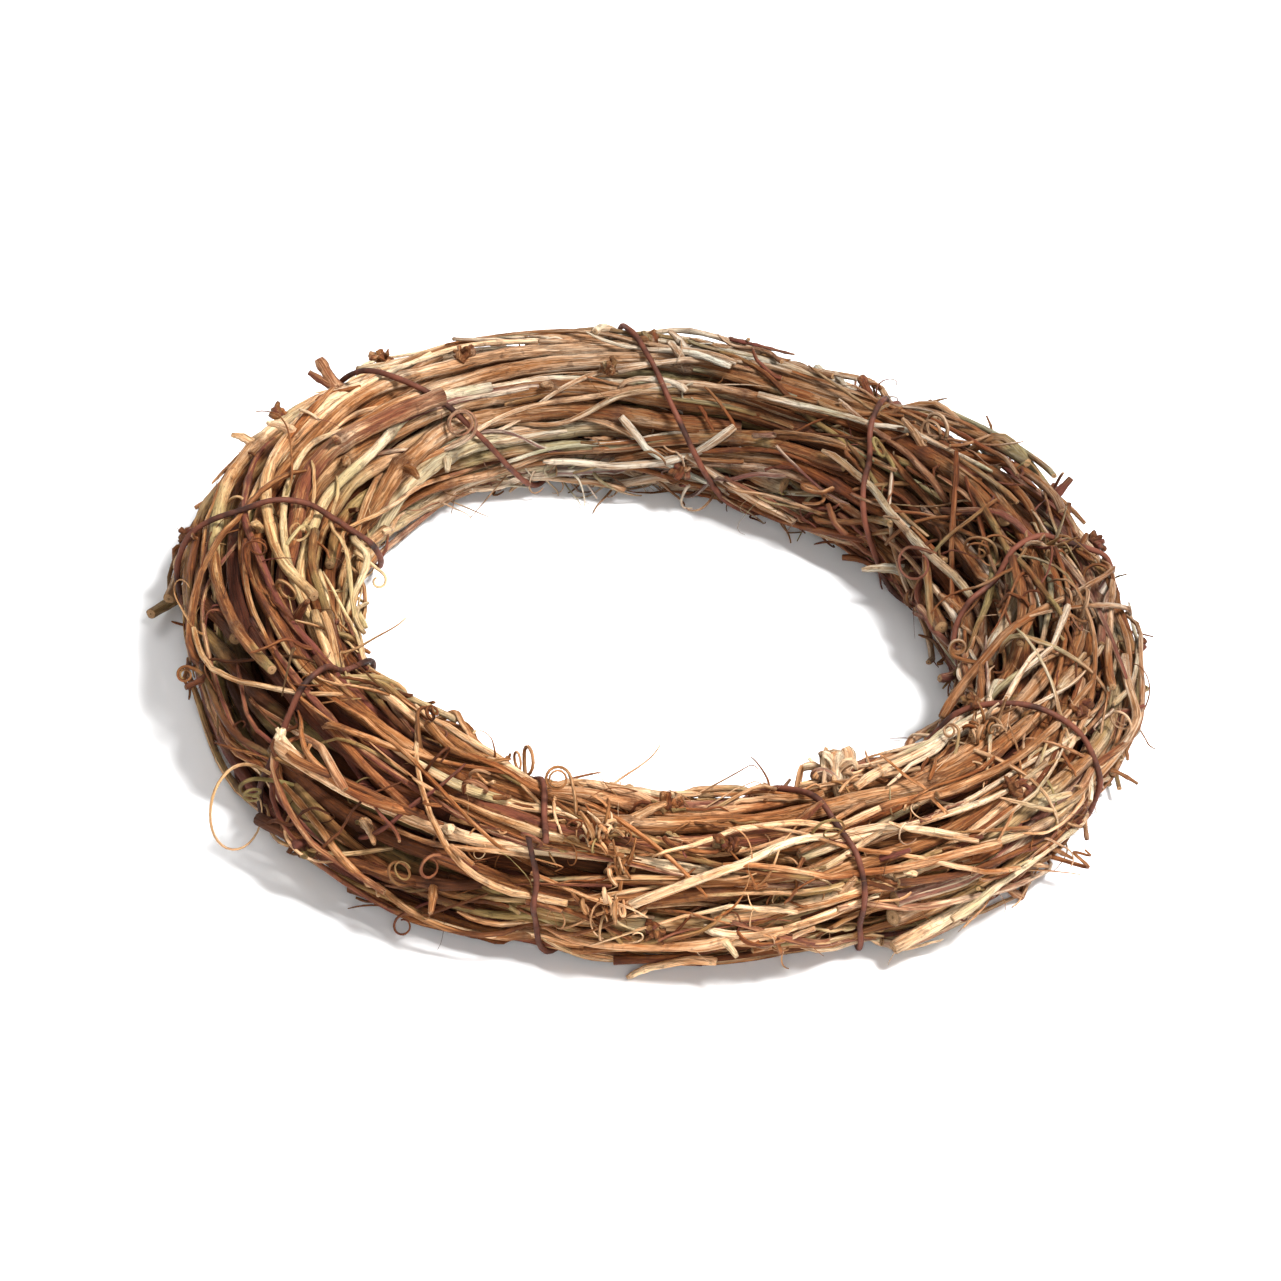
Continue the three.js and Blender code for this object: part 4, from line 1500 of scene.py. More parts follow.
    def tangle(self, batch: Batch) -> Surface:
        """Makes crooked little twigs that lie tangled on the bundle's surface.

        Each turns by a little more or less at every third point, so that it runs in short straight pieces.

        Args:
            batch: What they are.

        Returns:
            Their surfaces.
        """
        count, steps = batch.count, batch.steps
        spots = Spots.drawn(self.stems, count, self.rng, deepest=0.35)
        slant = self.varied(0.6, count)
        sense = self.rng.choice([-1.0, 1.0], count)[:, None]
        first = unit(spots.onward * sense + spots.across * slant + spots.outward * 0.12)
        second = unit(np.cross(first, spots.outward))
        kinks = np.repeat(self.rng.normal(0, 0.3, (count, steps // 3)), 3, axis=1)
        lengths = self.rng.uniform(*batch.length, count)
        drift = spots.outward * (0.1 - lengths / 45)[:, None]
        points = swept(self.bases(spots, spots.outward), first, second, drift, lengths, kinks)
        joints = 1 + 0.35 * (np.arange(steps) % 3 == 0)
        radii = self.column(batch.radius, count) * (1 - 0.5 * np.linspace(0, 1, steps)) * joints
        points = self.tie.under(points, radii)
        return self.tubed(batch, points, radii, spots.outward, self.colours(batch, count))

    def shoots(self, batch: Batch) -> Surface:
        """Makes side shoots that were cut or broken off, with a collar at the root and a bud part way.

        Args:
            batch: What they are.

        Returns:
            Their surfaces.
        """
        count, placed = batch.count, PLACED_SHOOTS.T
        spots = Spots.drawn(self.stems, count, self.rng, deepest=0.3)
        spots = spots.placed(self.stems, self.at(PLACED_SHOOTS), self.stout)
        share = np.linspace(0, 1, batch.steps)
        lean = given(self.rng.uniform(0.5, 1.35, count), placed[3])
        first = spots.leaning(lean, self.rng.normal(0, 0.7, count))
        second = unit(spots.onward + self.rng.normal(0, 0.5, (count, 3)))
        turning = self.column((-0.3, 0.7), count) * share
        lengths = given(self.rng.uniform(*batch.length, count), placed[5])
        collar = 0.35 * bump(share, 0, 0.12)
        bud = 0.3 * bump(share, self.column((0.45, 0.95), count), 0.1)
        thick = given(self.rng.uniform(*batch.radius, count), placed[4])[:, None]
        points = swept(self.bases(spots, first), first, second, np.zeros((count, 3)), lengths, turning)
        radii = thick * (1 - 0.3 * share + collar + bud)
        tint = self.colours(batch, count, placed[6], placed[7])
        tint[..., 2] = self.column((0, 1), count) * share**2
        return self.tubed(batch, points, radii, unit(np.cross(first, spots.across + 0.3)), tint)

    def clumps(self, batch: Batch) -> Surface:
        """Makes clumps of short curled ragged bits, as where a shoot was pulled off.

        Args:
            batch: What they are.

        Returns:
            Their surfaces.
        """
        clumps, bits, spread = batch.count, batch.bits, batch.spread
        spots = Spots.drawn(self.stems, clumps, self.rng, deepest=0.15, lowest=6.0)
        spots = spots.placed(self.stems, self.at(batch.places), self.stout).repeated(bits)
        count = clumps * bits
        share = np.linspace(0, 1, batch.steps)
        yaw = np.repeat(self.rng.uniform(0, TAU, clumps), bits) + self.rng.normal(0, 0.9, count)
        lean = np.repeat(self.rng.uniform(0.2, 1.2, clumps), bits) + self.rng.normal(0, 0.4, count)
        first = spots.leaning(lean, yaw)
        second = unit(self.rng.normal(size=(count, 3)))
        turning = self.column(batch.bend, count) * share**1.3
        lengths = self.rng.uniform(*batch.length, count)
        base = self.bases(spots, spots.outward) + spots.onward * self.varied(spread, count)
        base = base + spots.across * self.varied(0.7 * spread, count)
        base = base + spots.outward * self.column((0, 1.2 * spread), count)
        points = swept(base, first, second, np.zeros((count, 3)), lengths, turning)
        phase = self.column((0, 6), count)
        lumps = 1 + 0.25 * np.sin(share * self.column((4, 9), count) + phase)
        radii = self.column(batch.radius, count) * lumps * (1 - 0.45 * share**2)
        tint = self.colours(batch, count)
        return self.tubed(batch, points, radii, unit(np.cross(first, second) + 1e-3), tint)

    def peel(self, batch: Batch) -> Surface:
        """Makes strips of bark that peel off the stems: flat on the stem at one end and lifted at the other.

        Args:
            batch: What they are.

        Returns:
            Their surfaces.
        """
        count, steps = batch.count, batch.steps
        share = np.linspace(0, 1, steps)
        sizes = np.array([len(strand.points) for strand in self.strands], float)
        courses, ways = [], []
        for owner in self.rng.choice(len(self.strands), count, p=sizes / sizes.sum()):
            stem = self.strands[owner]
            places = len(stem.points)
            span = min(int(self.rng.integers(*batch.length)), places - 2)
            index = int(self.rng.integers(0, places - span)) + share * span
            index = index[::-1] if self.rng.random() < 0.5 else index
            sides = np.concatenate([stem.points, stem.radii[:, None], stem.outward, stem.onward], axis=1)
            line = np.stack([np.interp(index, np.arange(places), side) for side in sides.T], axis=-1)
            middle, radius, outward, onward = np.split(line, [3, 4, 7], axis=1)
            bearing = (self.rng.uniform(-1.5, 1.5) + 0.25 * share * self.rng.normal())[:, None]
            way = unit(outward * np.cos(bearing) + np.cross(outward, onward) * np.sin(bearing))
            loose = self.rng.uniform(*batch.lift) * np.maximum(share - 0.25, 0) ** 1.7
            courses.append(middle + way * (radius * 0.98 + loose[:, None]))
            ways.append(way)
        points = self.tie.under(np.array(courses), np.full(steps, 0.1))
        wide = self.column(batch.radius, count) * (0.35 + 0.65 * np.sin(math.pi * (0.12 + 0.8 * share)))
        tint = self.colours(batch, count)
        return tubes(self.capped(points), wide, np.array(ways), tint, batch.section,
                     self.rng.uniform(0, PATTERN, count), self.rng, batch.cut)


@dataclass
class Wiring:
    """Adds nodes to a shader tree and links them."""

    tree: bpy.types.NodeTree

    @staticmethod
    def group(name: str, **inputs: str) -> tuple[Wiring, dict[str, Socket]]:
        """Starts a shader node group.

        Args:
            name: The group's name.
            inputs: The kind of each of its inputs, Float or Vector.

        Returns:
            Its wiring, and its inputs by name.
        """
        wiring = Wiring(bpy.data.node_groups.new(name, "ShaderNodeTree"))
        for label, kind in inputs.items():
            wiring.tree.interface.new_socket(label, in_out="INPUT", socket_type=f"NodeSocket{kind}")
        source = wiring.add("NodeGroupInput")
        return wiring, {label: source.outputs[label] for label in inputs}

    def close_group(self, **masks: Socket) -> bpy.types.NodeTree:
        """Gives a group its outputs.

        Args:
            masks: What each output puts out, a value.

        Returns:
            The group.
        """
        for label in masks:
            self.tree.interface.new_socket(label, in_out="OUTPUT", socket_type="NodeSocketFloat")
        self.add("NodeGroupOutput", masks)
        return self.tree

    @staticmethod
    def material(name: str) -> tuple[Material, Wiring]:
        """Starts a material.

        Args:
            name: The material's name.

        Returns:
            The material and its wiring, without any node.
        """
        material = bpy.data.materials.new(name)
        material.use_nodes = True
        material.node_tree.nodes.clear()
        return material, Wiring(material.node_tree)

    def close_material(self, inputs: dict[str, object]) -> None:
        """Adds a material's shader, with what goes into its sockets, and its output."""
        shader = self.add("ShaderNodeBsdfPrincipled", inputs)
        self.add("ShaderNodeOutputMaterial", {0: shader.outputs[0]})

    def add(self, kind: str, inputs: dict[str | int, object] | None = None,
            **settings: object) -> bpy.types.Node:
        """Adds a node.

        Args:
            kind: Its type.
            inputs: What goes into its sockets: another socket, or a value.
            settings: Its own settings.

        Returns:
            The node.
        """
        node = self.tree.nodes.new(kind)
        for name, value in settings.items():
            setattr(node, name, value)
        for key, value in (inputs or {}).items():
            if isinstance(value, Socket):
                self.tree.links.new(value, node.inputs[key])
            else:
                node.inputs[key].default_value = value
        return node

    def calc(self, operation: str, *terms: Socket | float) -> Socket:
        """Returns the result of a sum, product or other operation on values."""
        return self.add("ShaderNodeMath", dict(enumerate(terms)), operation=operation).outputs[0]

    def times(self, first: Socket | float, second: Socket | float) -> Socket:
        """Returns the product of two values."""
        return self.calc("MULTIPLY", first, second)

    def blended(self, value: Socket, weight: float, rest: Socket) -> Socket:
        """Returns value * weight + rest."""
        return self.calc("MULTIPLY_ADD", value, weight, rest)

    def noise(self, vector: Socket, scale: float, detail: float, roughness: float,
              distortion: float = 0.0) -> Socket:
        """Returns fractal noise from about 0 to 1 at a place."""
        inputs = {"Vector": vector, "Scale": scale, "Detail": detail, "Roughness": roughness,
                  "Distortion": distortion}
        return self.add("ShaderNodeTexNoise", inputs).outputs[0]

    def vector(self, operation: str, first: Socket, second: object, output: str = "Vector") -> Socket:
        """Returns the result of an operation on two vectors."""
        return self.add("ShaderNodeVectorMath", {0: first, 1: second}, operation=operation).outputs[output]

    def remap(self, value: Socket, low: float, high: float, to_low: float = 0.0,
              to_high: float = 1.0) -> Socket:
        """Returns a value remapped from one range to another, and kept in that."""
        inputs = {0: value, 1: low, 2: high, 3: to_low, 4: to_high}
        return self.add("ShaderNodeMapRange", inputs, interpolation_type="SMOOTHSTEP").outputs[0]

    def mix(self, share: Socket | float, first: Socket | Colour, second: Socket | Colour,
            blend: str = "MIX") -> Socket:
        """Returns two colours mixed by the second one's share."""
        first, second = (value if isinstance(value, Socket) else (*value, 1.0) for value in (first, second))
        return self.add("ShaderNodeMix", {0: share, 6: first, 7: second}, data_type="RGBA",
                        blend_type=blend).outputs[2]

    def ramp(self, value: Socket, stops: Sequence[tuple[float, Colour]]) -> Socket:
        """Returns the colour of a ramp at a value.

        Args:
            value: The value.
            stops: The ramp's places and their colours.

        Returns:
            The colour.
        """
        node = self.add("ShaderNodeValToRGB", {0: value})
        elements = node.color_ramp.elements
        while len(elements) < len(stops):
            elements.new(0.5)
        for element, (place, colour) in zip(elements, stops):
            element.position = place
            element.color = (*colour, 1.0)
        return node.outputs[0]


def bark_grain_group() -> bpy.types.NodeTree:
    """Makes the grain that every bark shows: long streaks, split lines and fine fibres along the stem.

    Returns:
        A group that turns a place in the bark's pattern into those three masks.
    """
    wiring, inputs = Wiring.group("bark grain", Grain="Vector", Fineness="Float")
    fine = wiring.add("ShaderNodeVectorMath", {0: inputs["Grain"], "Scale": inputs["Fineness"]},
                      operation="SCALE").outputs[0]
    streaks, splits, fibres = (
        wiring.noise(wiring.vector("MULTIPLY", fine, stretch), 1.0, *texture)
        for stretch, *texture in (
            ((1.5, 1.5, 0.075), 5.0, 0.62, 0.4),
            ((2.6, 2.6, 0.12), 3.0, 0.5, 0.8),
            ((7.0, 7.0, 0.5), 3.0, 0.6),
        )
    )
    narrow = wiring.calc("ABSOLUTE", wiring.calc("SUBTRACT", splits, 0.5))
    return wiring.close_group(
        Streaks=wiring.remap(streaks, 0.3, 0.7),
        Splits=wiring.remap(narrow, 0.045, 0.0),
        Fibres=wiring.remap(fibres, 0.3, 0.7),
    )


def weather_group() -> bpy.types.NodeTree:
    """Makes the marks of weather that all stems share: patches, specks, the grey of age and straw.

    Returns:
        A group that turns a place on the wreath, and one in the bark's pattern, into those four masks.
    """
    old_part, bleached_part = (0.040, 0.040, 0.010), (-0.046, -0.006, 0.014)
    wiring, inputs = Wiring.group("weather", Place="Vector", Grain="Vector")
    place = inputs["Place"]
    broad = wiring.noise(place, 70.0, 3.0, 0.55)
    own = wiring.noise(wiring.vector("MULTIPLY", inputs["Grain"], (0.12, 0.12, 0.06)), 1.0, 3.0, 0.55)
    away = wiring.vector("DISTANCE", place, old_part, "Value")
    to_bleached = wiring.vector("DISTANCE", place, bleached_part, "Value")
    old = wiring.remap(wiring.blended(own, 0.03, away), 0.12, 0.05)
    return wiring.close_group(
        Patches=wiring.remap(wiring.blended(broad, 0.4, wiring.times(own, 0.6)), 0.38, 0.62),
        Specks=wiring.remap(wiring.noise(place, 900.0, 2.0, 0.5), 0.6, 0.72),
        Age=wiring.blended(old, 0.85, wiring.times(wiring.remap(own, 0.5, 0.66), 0.2)),
        Straw=wiring.remap(wiring.blended(own, 0.03, to_bleached), 0.05, 0.022),
    )


@dataclass(frozen=True)
class Bark:
    """A finish of dried bark."""

    name: str
    ramp: tuple[tuple[float, Colour], ...]  # its colours from the darkest to the lightest, with their places
    orange: Colour = (1.0, 0.82, 0.66)  # what its colour is multiplied by where it is orange
    olive: Colour = (0.30, 0.235, 0.085)  # its colour where it is greenish
    maroon: Colour = (0.16, 0.042, 0.03)  # its colour where it is reddish
    grey: Colour = (0.54, 0.68, 0.91)  # what its colour is multiplied by where it has greyed with age
    joint: Colour = (0.04, 0.014, 0.008)  # its colour at joints
    straw: Colour = (0.62, 0.46, 0.2)  # its colour where it has bleached like straw
    cut: Colour = (0.46, 0.26, 0.12)  # the wood's colour at a cut
    fineness: float = 1.0  # how fine the grain is
    bump: float = 0.00022  # how deep it is, in metres
    roughness: Span = (0.5, 0.85)  # its roughness on the light and on the dark streaks
    # How much a stem's own tone, its streaks and its patches count in its colour.
    tones: tuple[float, float, float] = (0.66, 0.36, 0.26)

    def material(self, grain_group: bpy.types.NodeTree, weather: bpy.types.NodeTree) -> Material:
        """Makes the material.

        Args:
            grain_group: The shared grain.
            weather: The shared marks of weather.

        Returns:
            The material.
        """
        material, wiring = Wiring.material(self.name)
        place = wiring.add("ShaderNodeTexCoord").outputs["Object"]
        grain = wiring.add("ShaderNodeAttribute", attribute_name="grain").outputs["Vector"]
        tint = wiring.add("ShaderNodeAttribute", attribute_name="tint")
        parts = wiring.add("ShaderNodeSeparateColor", {0: tint.outputs["Color"]})
        tone, hue, joint = (parts.outputs[i] for i in range(3))
        bark = wiring.add("ShaderNodeGroup", node_tree=grain_group)
        wiring.tree.links.new(grain, bark.inputs["Grain"])
        bark.inputs["Fineness"].default_value = self.fineness
        marks = wiring.add("ShaderNodeGroup", node_tree=weather)
        wiring.tree.links.new(place, marks.inputs["Place"])
        wiring.tree.links.new(grain, marks.inputs["Grain"])
        streaks, splits, fibres = (bark.outputs[name] for name in ("Streaks", "Splits", "Fibres"))
        patches, specks, age, straw = (marks.outputs[name] for name in ("Patches", "Specks", "Age", "Straw"))
        level = wiring.times(tone, self.tones[0])
        for mask, weight in ((streaks, self.tones[1]), (patches, self.tones[2]), (fibres, 0.12)):
            level = wiring.blended(mask, weight, level)
        level = wiring.calc("SUBTRACT", level, 0.2)
        colour = wiring.ramp(level, self.ramp)
        orange = wiring.times(wiring.remap(hue, 0.35, 0.6), wiring.remap(hue, 0.95, 0.7))
        orange = wiring.times(orange, wiring.remap(patches, 1.0, 0.1, 0.35, 1.0))
        olive = wiring.times(wiring.remap(hue, 0.42, 0.05), wiring.remap(patches, 0.2, 0.9))
        maroon = wiring.times(wiring.remap(hue, 0.68, 1.0), wiring.remap(streaks, 0.95, 0.2, 0.25, 0.95))
        bleached = wiring.times(straw, wiring.remap(level, 0.3, 0.75, 0.0, 0.5))
        greyed = wiring.times(age, wiring.remap(level, 0.05, 0.5))
        for share, layer, blend in (
            (orange, self.orange, "MULTIPLY"),
            (wiring.times(olive, 0.7), self.olive, "MIX"),
            (maroon, self.maroon, "MIX"),
            (bleached, self.straw, "MIX"),
            (greyed, self.grey, "MULTIPLY"),
            (wiring.times(joint, 0.6), self.joint, "MIX"),
            (wiring.times(splits, 0.5), self.joint, "MIX"),
            (wiring.times(specks, 0.4), self.joint, "MIX"),
            (tint.outputs["Alpha"], self.wood(wiring, grain, fibres), "MIX"),
        ):
            colour = wiring.mix(share, colour, layer, blend)
        height = wiring.blended(fibres, 0.35, wiring.times(streaks, 0.6))
        height = wiring.blended(splits, -0.5, height)
        normal = wiring.add("ShaderNodeBump", {"Strength": 1.0, "Distance": self.bump, "Height": height})
        wiring.close_material({
            "Base Color": colour,
            "Roughness": wiring.remap(streaks, 0.0, 1.0, self.roughness[1], self.roughness[0]),
            "Normal": normal.outputs[0],
            "Specular IOR Level": 0.2,
        })
        return material

    def wood(self, wiring: Wiring, grain: Socket, fibres: Socket) -> Socket:
        """Colours the wood of a cut: a dark pith in the middle, faint rings round it and a dark edge.

        Args:
            wiring: The material's wiring.
            grain: The place in the bark's pattern, whose first two sides are from the stem's middle.
            fibres: The mask of fibres, which makes the rings uneven.

        Returns:
            The colour.
        """
        flat = wiring.vector("MULTIPLY", grain, (1.0, 1.0, 0.0))
        off = wiring.vector("LENGTH", flat, (0.0, 0.0, 0.0), "Value")
        rings = wiring.calc("SINE", wiring.blended(off, 16.0, wiring.times(fibres, 5.0)))
        pith = wiring.remap(wiring.times(off, self.fineness), 0.30, 0.12, 0.0, 0.75)
        edge = wiring.remap(off, 0.75, 1.15, 0.0, 0.7)
        wood = wiring.mix(wiring.remap(rings, -1.0, 1.0, 0.0, 0.5), self.cut_wood(1.0), self.cut_wood(0.4))
        wood = wiring.mix(pith, wood, self.cut_wood(0.16))
        return wiring.mix(edge, wood, self.cut_wood(0.3))

    def cut_wood(self, brightness: float) -> Colour:
        """Returns the colour of cut wood at a share of its brightness."""
        return tuple(brightness * side for side in self.cut)


@dataclass(frozen=True)
class DarkWire:
    """The finish of the thin dark wire: nearly black, with rust showing through in patches."""

    name: str = "dark wire"
    dark: Colour = (0.030, 0.012, 0.008)
    rust: Colour = (0.13, 0.040, 0.022)

    def material(self) -> Material:
        """Makes the material, whose patches and pits come from noise at a place on the wreath.

        Returns:
            The material.
        """
        material, wiring = Wiring.material(self.name)
        place = wiring.add("ShaderNodeTexCoord").outputs["Object"]
        patches = wiring.remap(wiring.noise(place, 160.0, 4.0, 0.6), 0.35, 0.6)
        pits = wiring.noise(place, 1400.0, 3.0, 0.6)
        normal = wiring.add("ShaderNodeBump", {"Strength": 0.6, "Distance": 0.0001, "Height": pits})
        wiring.close_material({
            "Base Color": wiring.mix(patches, self.dark, self.rust),
            "Roughness": wiring.remap(pits, 0.3, 0.7, 0.55, 0.85),
            "Metallic": 0.05,
            "Specular IOR Level": 0.2,
            "Normal": normal.outputs[0],
        })
        return material


BROWN_RAMP = (
    (0.0, (0.072, 0.021, 0.005)),
    (0.2, (0.150, 0.045, 0.011)),
    (0.42, (0.300, 0.118, 0.036)),
    (0.64, (0.56, 0.305, 0.148)),
    (0.84, (0.81, 0.565, 0.345)),
    (1.0, (0.91, 0.70, 0.44)),
)


@dataclass
class Finishes:
    """All the wreath's materials, each made once."""

    cane: Material
    twig: Material
    thin: Material
    wire: Material

    @staticmethod
    def made() -> Finishes:
        """Makes the materials: three barks, which share the grain and the marks of weather, and the wire.

        Returns:
            All of them.
        """
        barks = (
            Bark("cane bark", BROWN_RAMP),
            Bark("twig bark", BROWN_RAMP, fineness=1.4, bump=0.00015),
            Bark("thin bark", BROWN_RAMP, fineness=1.9, bump=0.0001, tones=(0.72, 0.34, 0.2)),
        )
        shared = bark_grain_group(), weather_group()
        return Finishes(*(bark.material(*shared) for bark in barks), DarkWire().material())


# The tone and the hue of the three twigs at the front.
STANDING_OUT = {"twig_1": (1.3, 0.45), "twig_2": (1.05, 0.55), "twig_3": (1.1, 0.5)}


@dataclass
class DressedWreath:
    """Makes the wreath's fine pieces."""

    wreath: Wreath
    finishes: Finishes
    rng: np.random.Generator  # the random numbers of all that is added

    def show(self, surface: Surface, name: str, finish: Material, stands_for: str = "") -> None:
        """Makes a piece, lets it ride on the wreath and hides the part that it replaces.

        Args:
            surface: Its surface.
            name: Its name.
            finish: Its material.
            stands_for: The node that it replaces, if it replaces one.
        """
        piece = surface.piece(name, finish)
        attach(piece, "root")
        if stands_for:
            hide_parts(stands_for)
        log.info("%s: %d faces", name, len(piece.data.polygons))

    def stems(self) -> list[Strand]:
        """Makes the canes and twigs, each with what grows on it.

        Returns:
            Their centrelines.
        """
        canes = StemDresser(self.wreath.bundle)
        twigs = StemDresser(self.wreath.bundle, section=Section(10), zigzag=0.35)
        looks = {
            "cane": (canes, (0.42, 1.0), self.finishes.cane, "cane_bark"),
            "twig": (twigs, (0.35, 0.95), self.finishes.twig, "twig_bark"),
        }
        strands = []
        for stem in self.wreath.stems:
            dresser, tones, finish, slot = looks[stem.name.split("_")[0]]
            tone = self.rng.uniform(*tones)
            tone, hue = STANDING_OUT.get(stem.name, (tone, self.rng.uniform(0, 1)))
            surface, strand = dresser.dress(stem, tone, hue, self.rng)
            parts = [surface]
            for grown in self.wreath.grown:
                if grown.owner == stem.name:
                    parts.append(self.grown_surface(grown, tone, hue))
            self.show(Surface.joined(parts), f"fine_{stem.name}", finish, stem.name)
            strands.append(strand)
        return strands

    def grown_surface(self, grown: Grown, tone: float, hue: float) -> Surface:
        """Makes a shoot, a tendril or the heel fine.

        A tendril thins out to its end. The heel is thickest in its middle and bowed. A shoot bows upwards by
        half a sine, and has a collar at its root and a joint half way.

        Args:
            grown: What it is.
            tone: Its stem's tone.
            hue: Its stem's hue.

        Returns:
            Its surface.
        """
        thick, thin = grown.radii[0], grown.radii[-1]
        reference = np.array([0.31, 0.87, 0.39])
        if grown.kind is Growth.TENDRIL:
            points, section, cut = smooth_course(grown.points, 3), Section(7, ()), (0.0, 0.0)
            radii = thick * (1.1 - 0.6 * np.linspace(0, 1, len(points)))
            reference = UP
        else:
            is_heel = grown.kind is Growth.HEEL
            share = np.linspace(0, 1, 14 if is_heel else 12)
            arch = np.sin(math.pi * share)
            points = grown.points[0] + share[:, None] * (grown.points[1] - grown.points[0])
            if is_heel:
                points = points + np.array([0.5, 0.3, 0]) * np.cos(math.pi * share)[:, None] ** 2
                radii = thick * (0.3 + 0.55 * arch**0.8)
                section, cut = Section(10, (0.15, 0.12, 0.1)), (0.8, 0.8)
            else:
                points = points + np.array([0.1, 0.1, 0.4]) * arch[:, None]
                swell = 0.22 * bump(share, 0.55, 0.08) + 0.3 * bump(share, 0, 0.25)
                radii = np.interp(share, [0, 0.9, 1], [thick, 0.85 * thin, 0.6 * thin]) * (1 + swell)
                section, cut = Section(9, (0.07, 0.06, 0.04)), (0.0, 0.35)
        tint = shades(np.array([tone]), np.array([hue]), len(points))
        reference = np.broadcast_to(reference, points[None].shape)
        surface = tubes(points[None], radii[None], reference, tint, section,
                        self.rng.uniform(0, PATTERN, 1), self.rng, cut)
        if grown.kind is Growth.HEEL:
            return Surface.joined([surface, self.torn_heel(grown, hue)])
        return surface

    def torn_heel(self, grown: Grown, hue: float) -> Surface:
        """Makes the torn wood by which a twig came away from its cane, fanned out from the twig to its heel.

        Args:
            grown: The heel.
            hue: The twig's hue.

        Returns:
            The strips of wood, pale and ragged.
        """
        course = self.wreath.bundle.points(self.wreath.stem(grown.owner))
        onward = unit(course[1] - course[0])
        count, steps = 9, 8
        share = np.linspace(0, 1, steps)[:, None]
        fan = np.linspace(-1, 1, count)[:, None, None]
        length = (1 + self.rng.uniform(-0.25, 0.2, count))[:, None, None]
        up = (grown.points[1] - grown.points[0]) / 2
        side = unit(np.cross(onward, up))
        spread = fan * share**1.6 * up * length
        sideways = side * self.rng.uniform(-0.35, 0.35, count)[:, None, None] * share
        points = course[0] + onward * 3.4 * (1 - share) - onward * 0.5 * share + spread + sideways
        radii = 0.5 * (1 - 0.45 * share[:, 0] ** 3) * self.rng.uniform(0.75, 1.1, count)[:, None]
        tint = shades(self.rng.uniform(0.9, 1.3, count), np.full(count, hue), steps)
        tint[..., 3] = self.rng.uniform(0, 0.25, count)[:, None]
        return tubes(points, radii, np.broadcast_to(side, points.shape), tint, Section(6, (0.12, 0.1)),
                     self.rng.uniform(0, PATTERN, count), self.rng, (0.2, 0.3))

    def binding(self) -> None:
        """Makes the wire, with the small kinks that winding by hand leaves in it.

        The sections are turned by the way on round the ring, which the wire is never along.
        """
        points = smooth_course(self.wreath.wire_points, 4)
        share = np.linspace(0, 1, len(points))
        kinks = 0.05 * np.stack([np.sin(TAU * share * waves) for waves in (71, 93, 57)], axis=-1)
        radii = self.wreath.wire.radius * (0.84 + 0.05 * np.sin(TAU * share * 131))
        angle = self.wreath.bundle.section(points)[0]
        onward = np.stack([-np.sin(angle), np.cos(angle), np.zeros_like(angle)], axis=-1)
        tint = shades(np.zeros(1), np.zeros(1), len(points))
        surface = tubes((points + kinks)[None], radii[None], onward[None], tint, Section(8, (0.04,)),
                        np.zeros(1), self.rng, (0.0, 0.0))
        self.show(surface, "fine_binding_wire", self.finishes.wire, "binding_wire")

    def thin_stem(self, number: int) -> Stem:
        """Draws a thin stem's course. Every third one is long, and the others lie mostly where it is messy.

        Args:
            number: Its number.

        Returns:
            The stem, not yet settled.
        """
        bundle = self.wreath.bundle
        is_short = number % 3 != 0
        laps = self.rng.uniform(*((0.1, 0.45) if is_short else (0.5, 1.4)))
        reach = bundle.radius * self.rng.uniform(*((0.9, 1.06) if is_short else (0.72, 1)))
        bearing, wind = self.rng.uniform(0, TAU), self.rng.normal(0, 0.8)
        butt = self.rng.uniform(0.38, 0.85)
        places = math.floor(laps * bundle.stations) + 1
        turn = TAU * np.arange(places) / bundle.stations
        phase = self.rng.uniform(0, TAU, 2)
        out = np.abs(reach + 1.6 * np.sin(1.7 * turn + phase[0]))
        angle = bearing + wind * turn + 0.5 * np.sin(2.4 * turn + phase[1])
        radius = butt * (1 - 0.5 * np.linspace(0, 1, places))
        lifts = tuple(self.rng.uniform(0, 6, 2))
        turns = self.rng.uniform(0, 1, 24)
        messy = turns[self.rng.random(24) < mess(TAU * turns) ** 2]
        at = messy[0] - laps / 2 if is_short and len(messy) else self.rng.random()
        start = math.floor(at % 1 * bundle.stations)
        return Stem(f"thin_{number}", start, lifts, out * np.cos(angle), out * np.sin(angle), radius)

    def thin_stems(self, count: int, pieces: int = 4, thinnest: float = 0.22) -> list[Strand]:
        """Makes the thin stems that lie among the canes, in a few pieces.

        Args:
            count: How many stems.
            pieces: How many pieces.
            thinnest: Their least radius.

        Returns:
            Their centrelines.
        """
        bundle = self.wreath.bundle
        drawn = [self.thin_stem(i) for i in range(count)]
        Settling(bundle, drawn, self.wreath.stems, clearance=0.08, rounds=160, margin=0.8, spring=0.08).run()
        dresser = StemDresser(bundle, Tie.of(self.wreath), steps=6, section=Section(7, (0.05, 0.05)),
                              swelling=0.35, joint_reach=0.12, joint_spacing=3.0, zigzag=0.3, wiggle=0.22)
        groups: list[list[Surface]] = [[] for _ in range(pieces)]
        strands = []
        for i, stem in enumerate(drawn):
            stem.radius = np.maximum(stem.radius, thinnest)
            tone = float(np.clip(self.rng.normal(0.7, 0.28), 0.05, 1.0))
            surface, strand = dresser.dress(stem, tone, self.rng.uniform(0, 1), self.rng)
            groups[i % pieces].append(surface)
            strands.append(strand)
        for i, group in enumerate(groups):
            self.show(Surface.joined(group), f"thin_stems_{i + 1}", self.finishes.thin)
        return strands

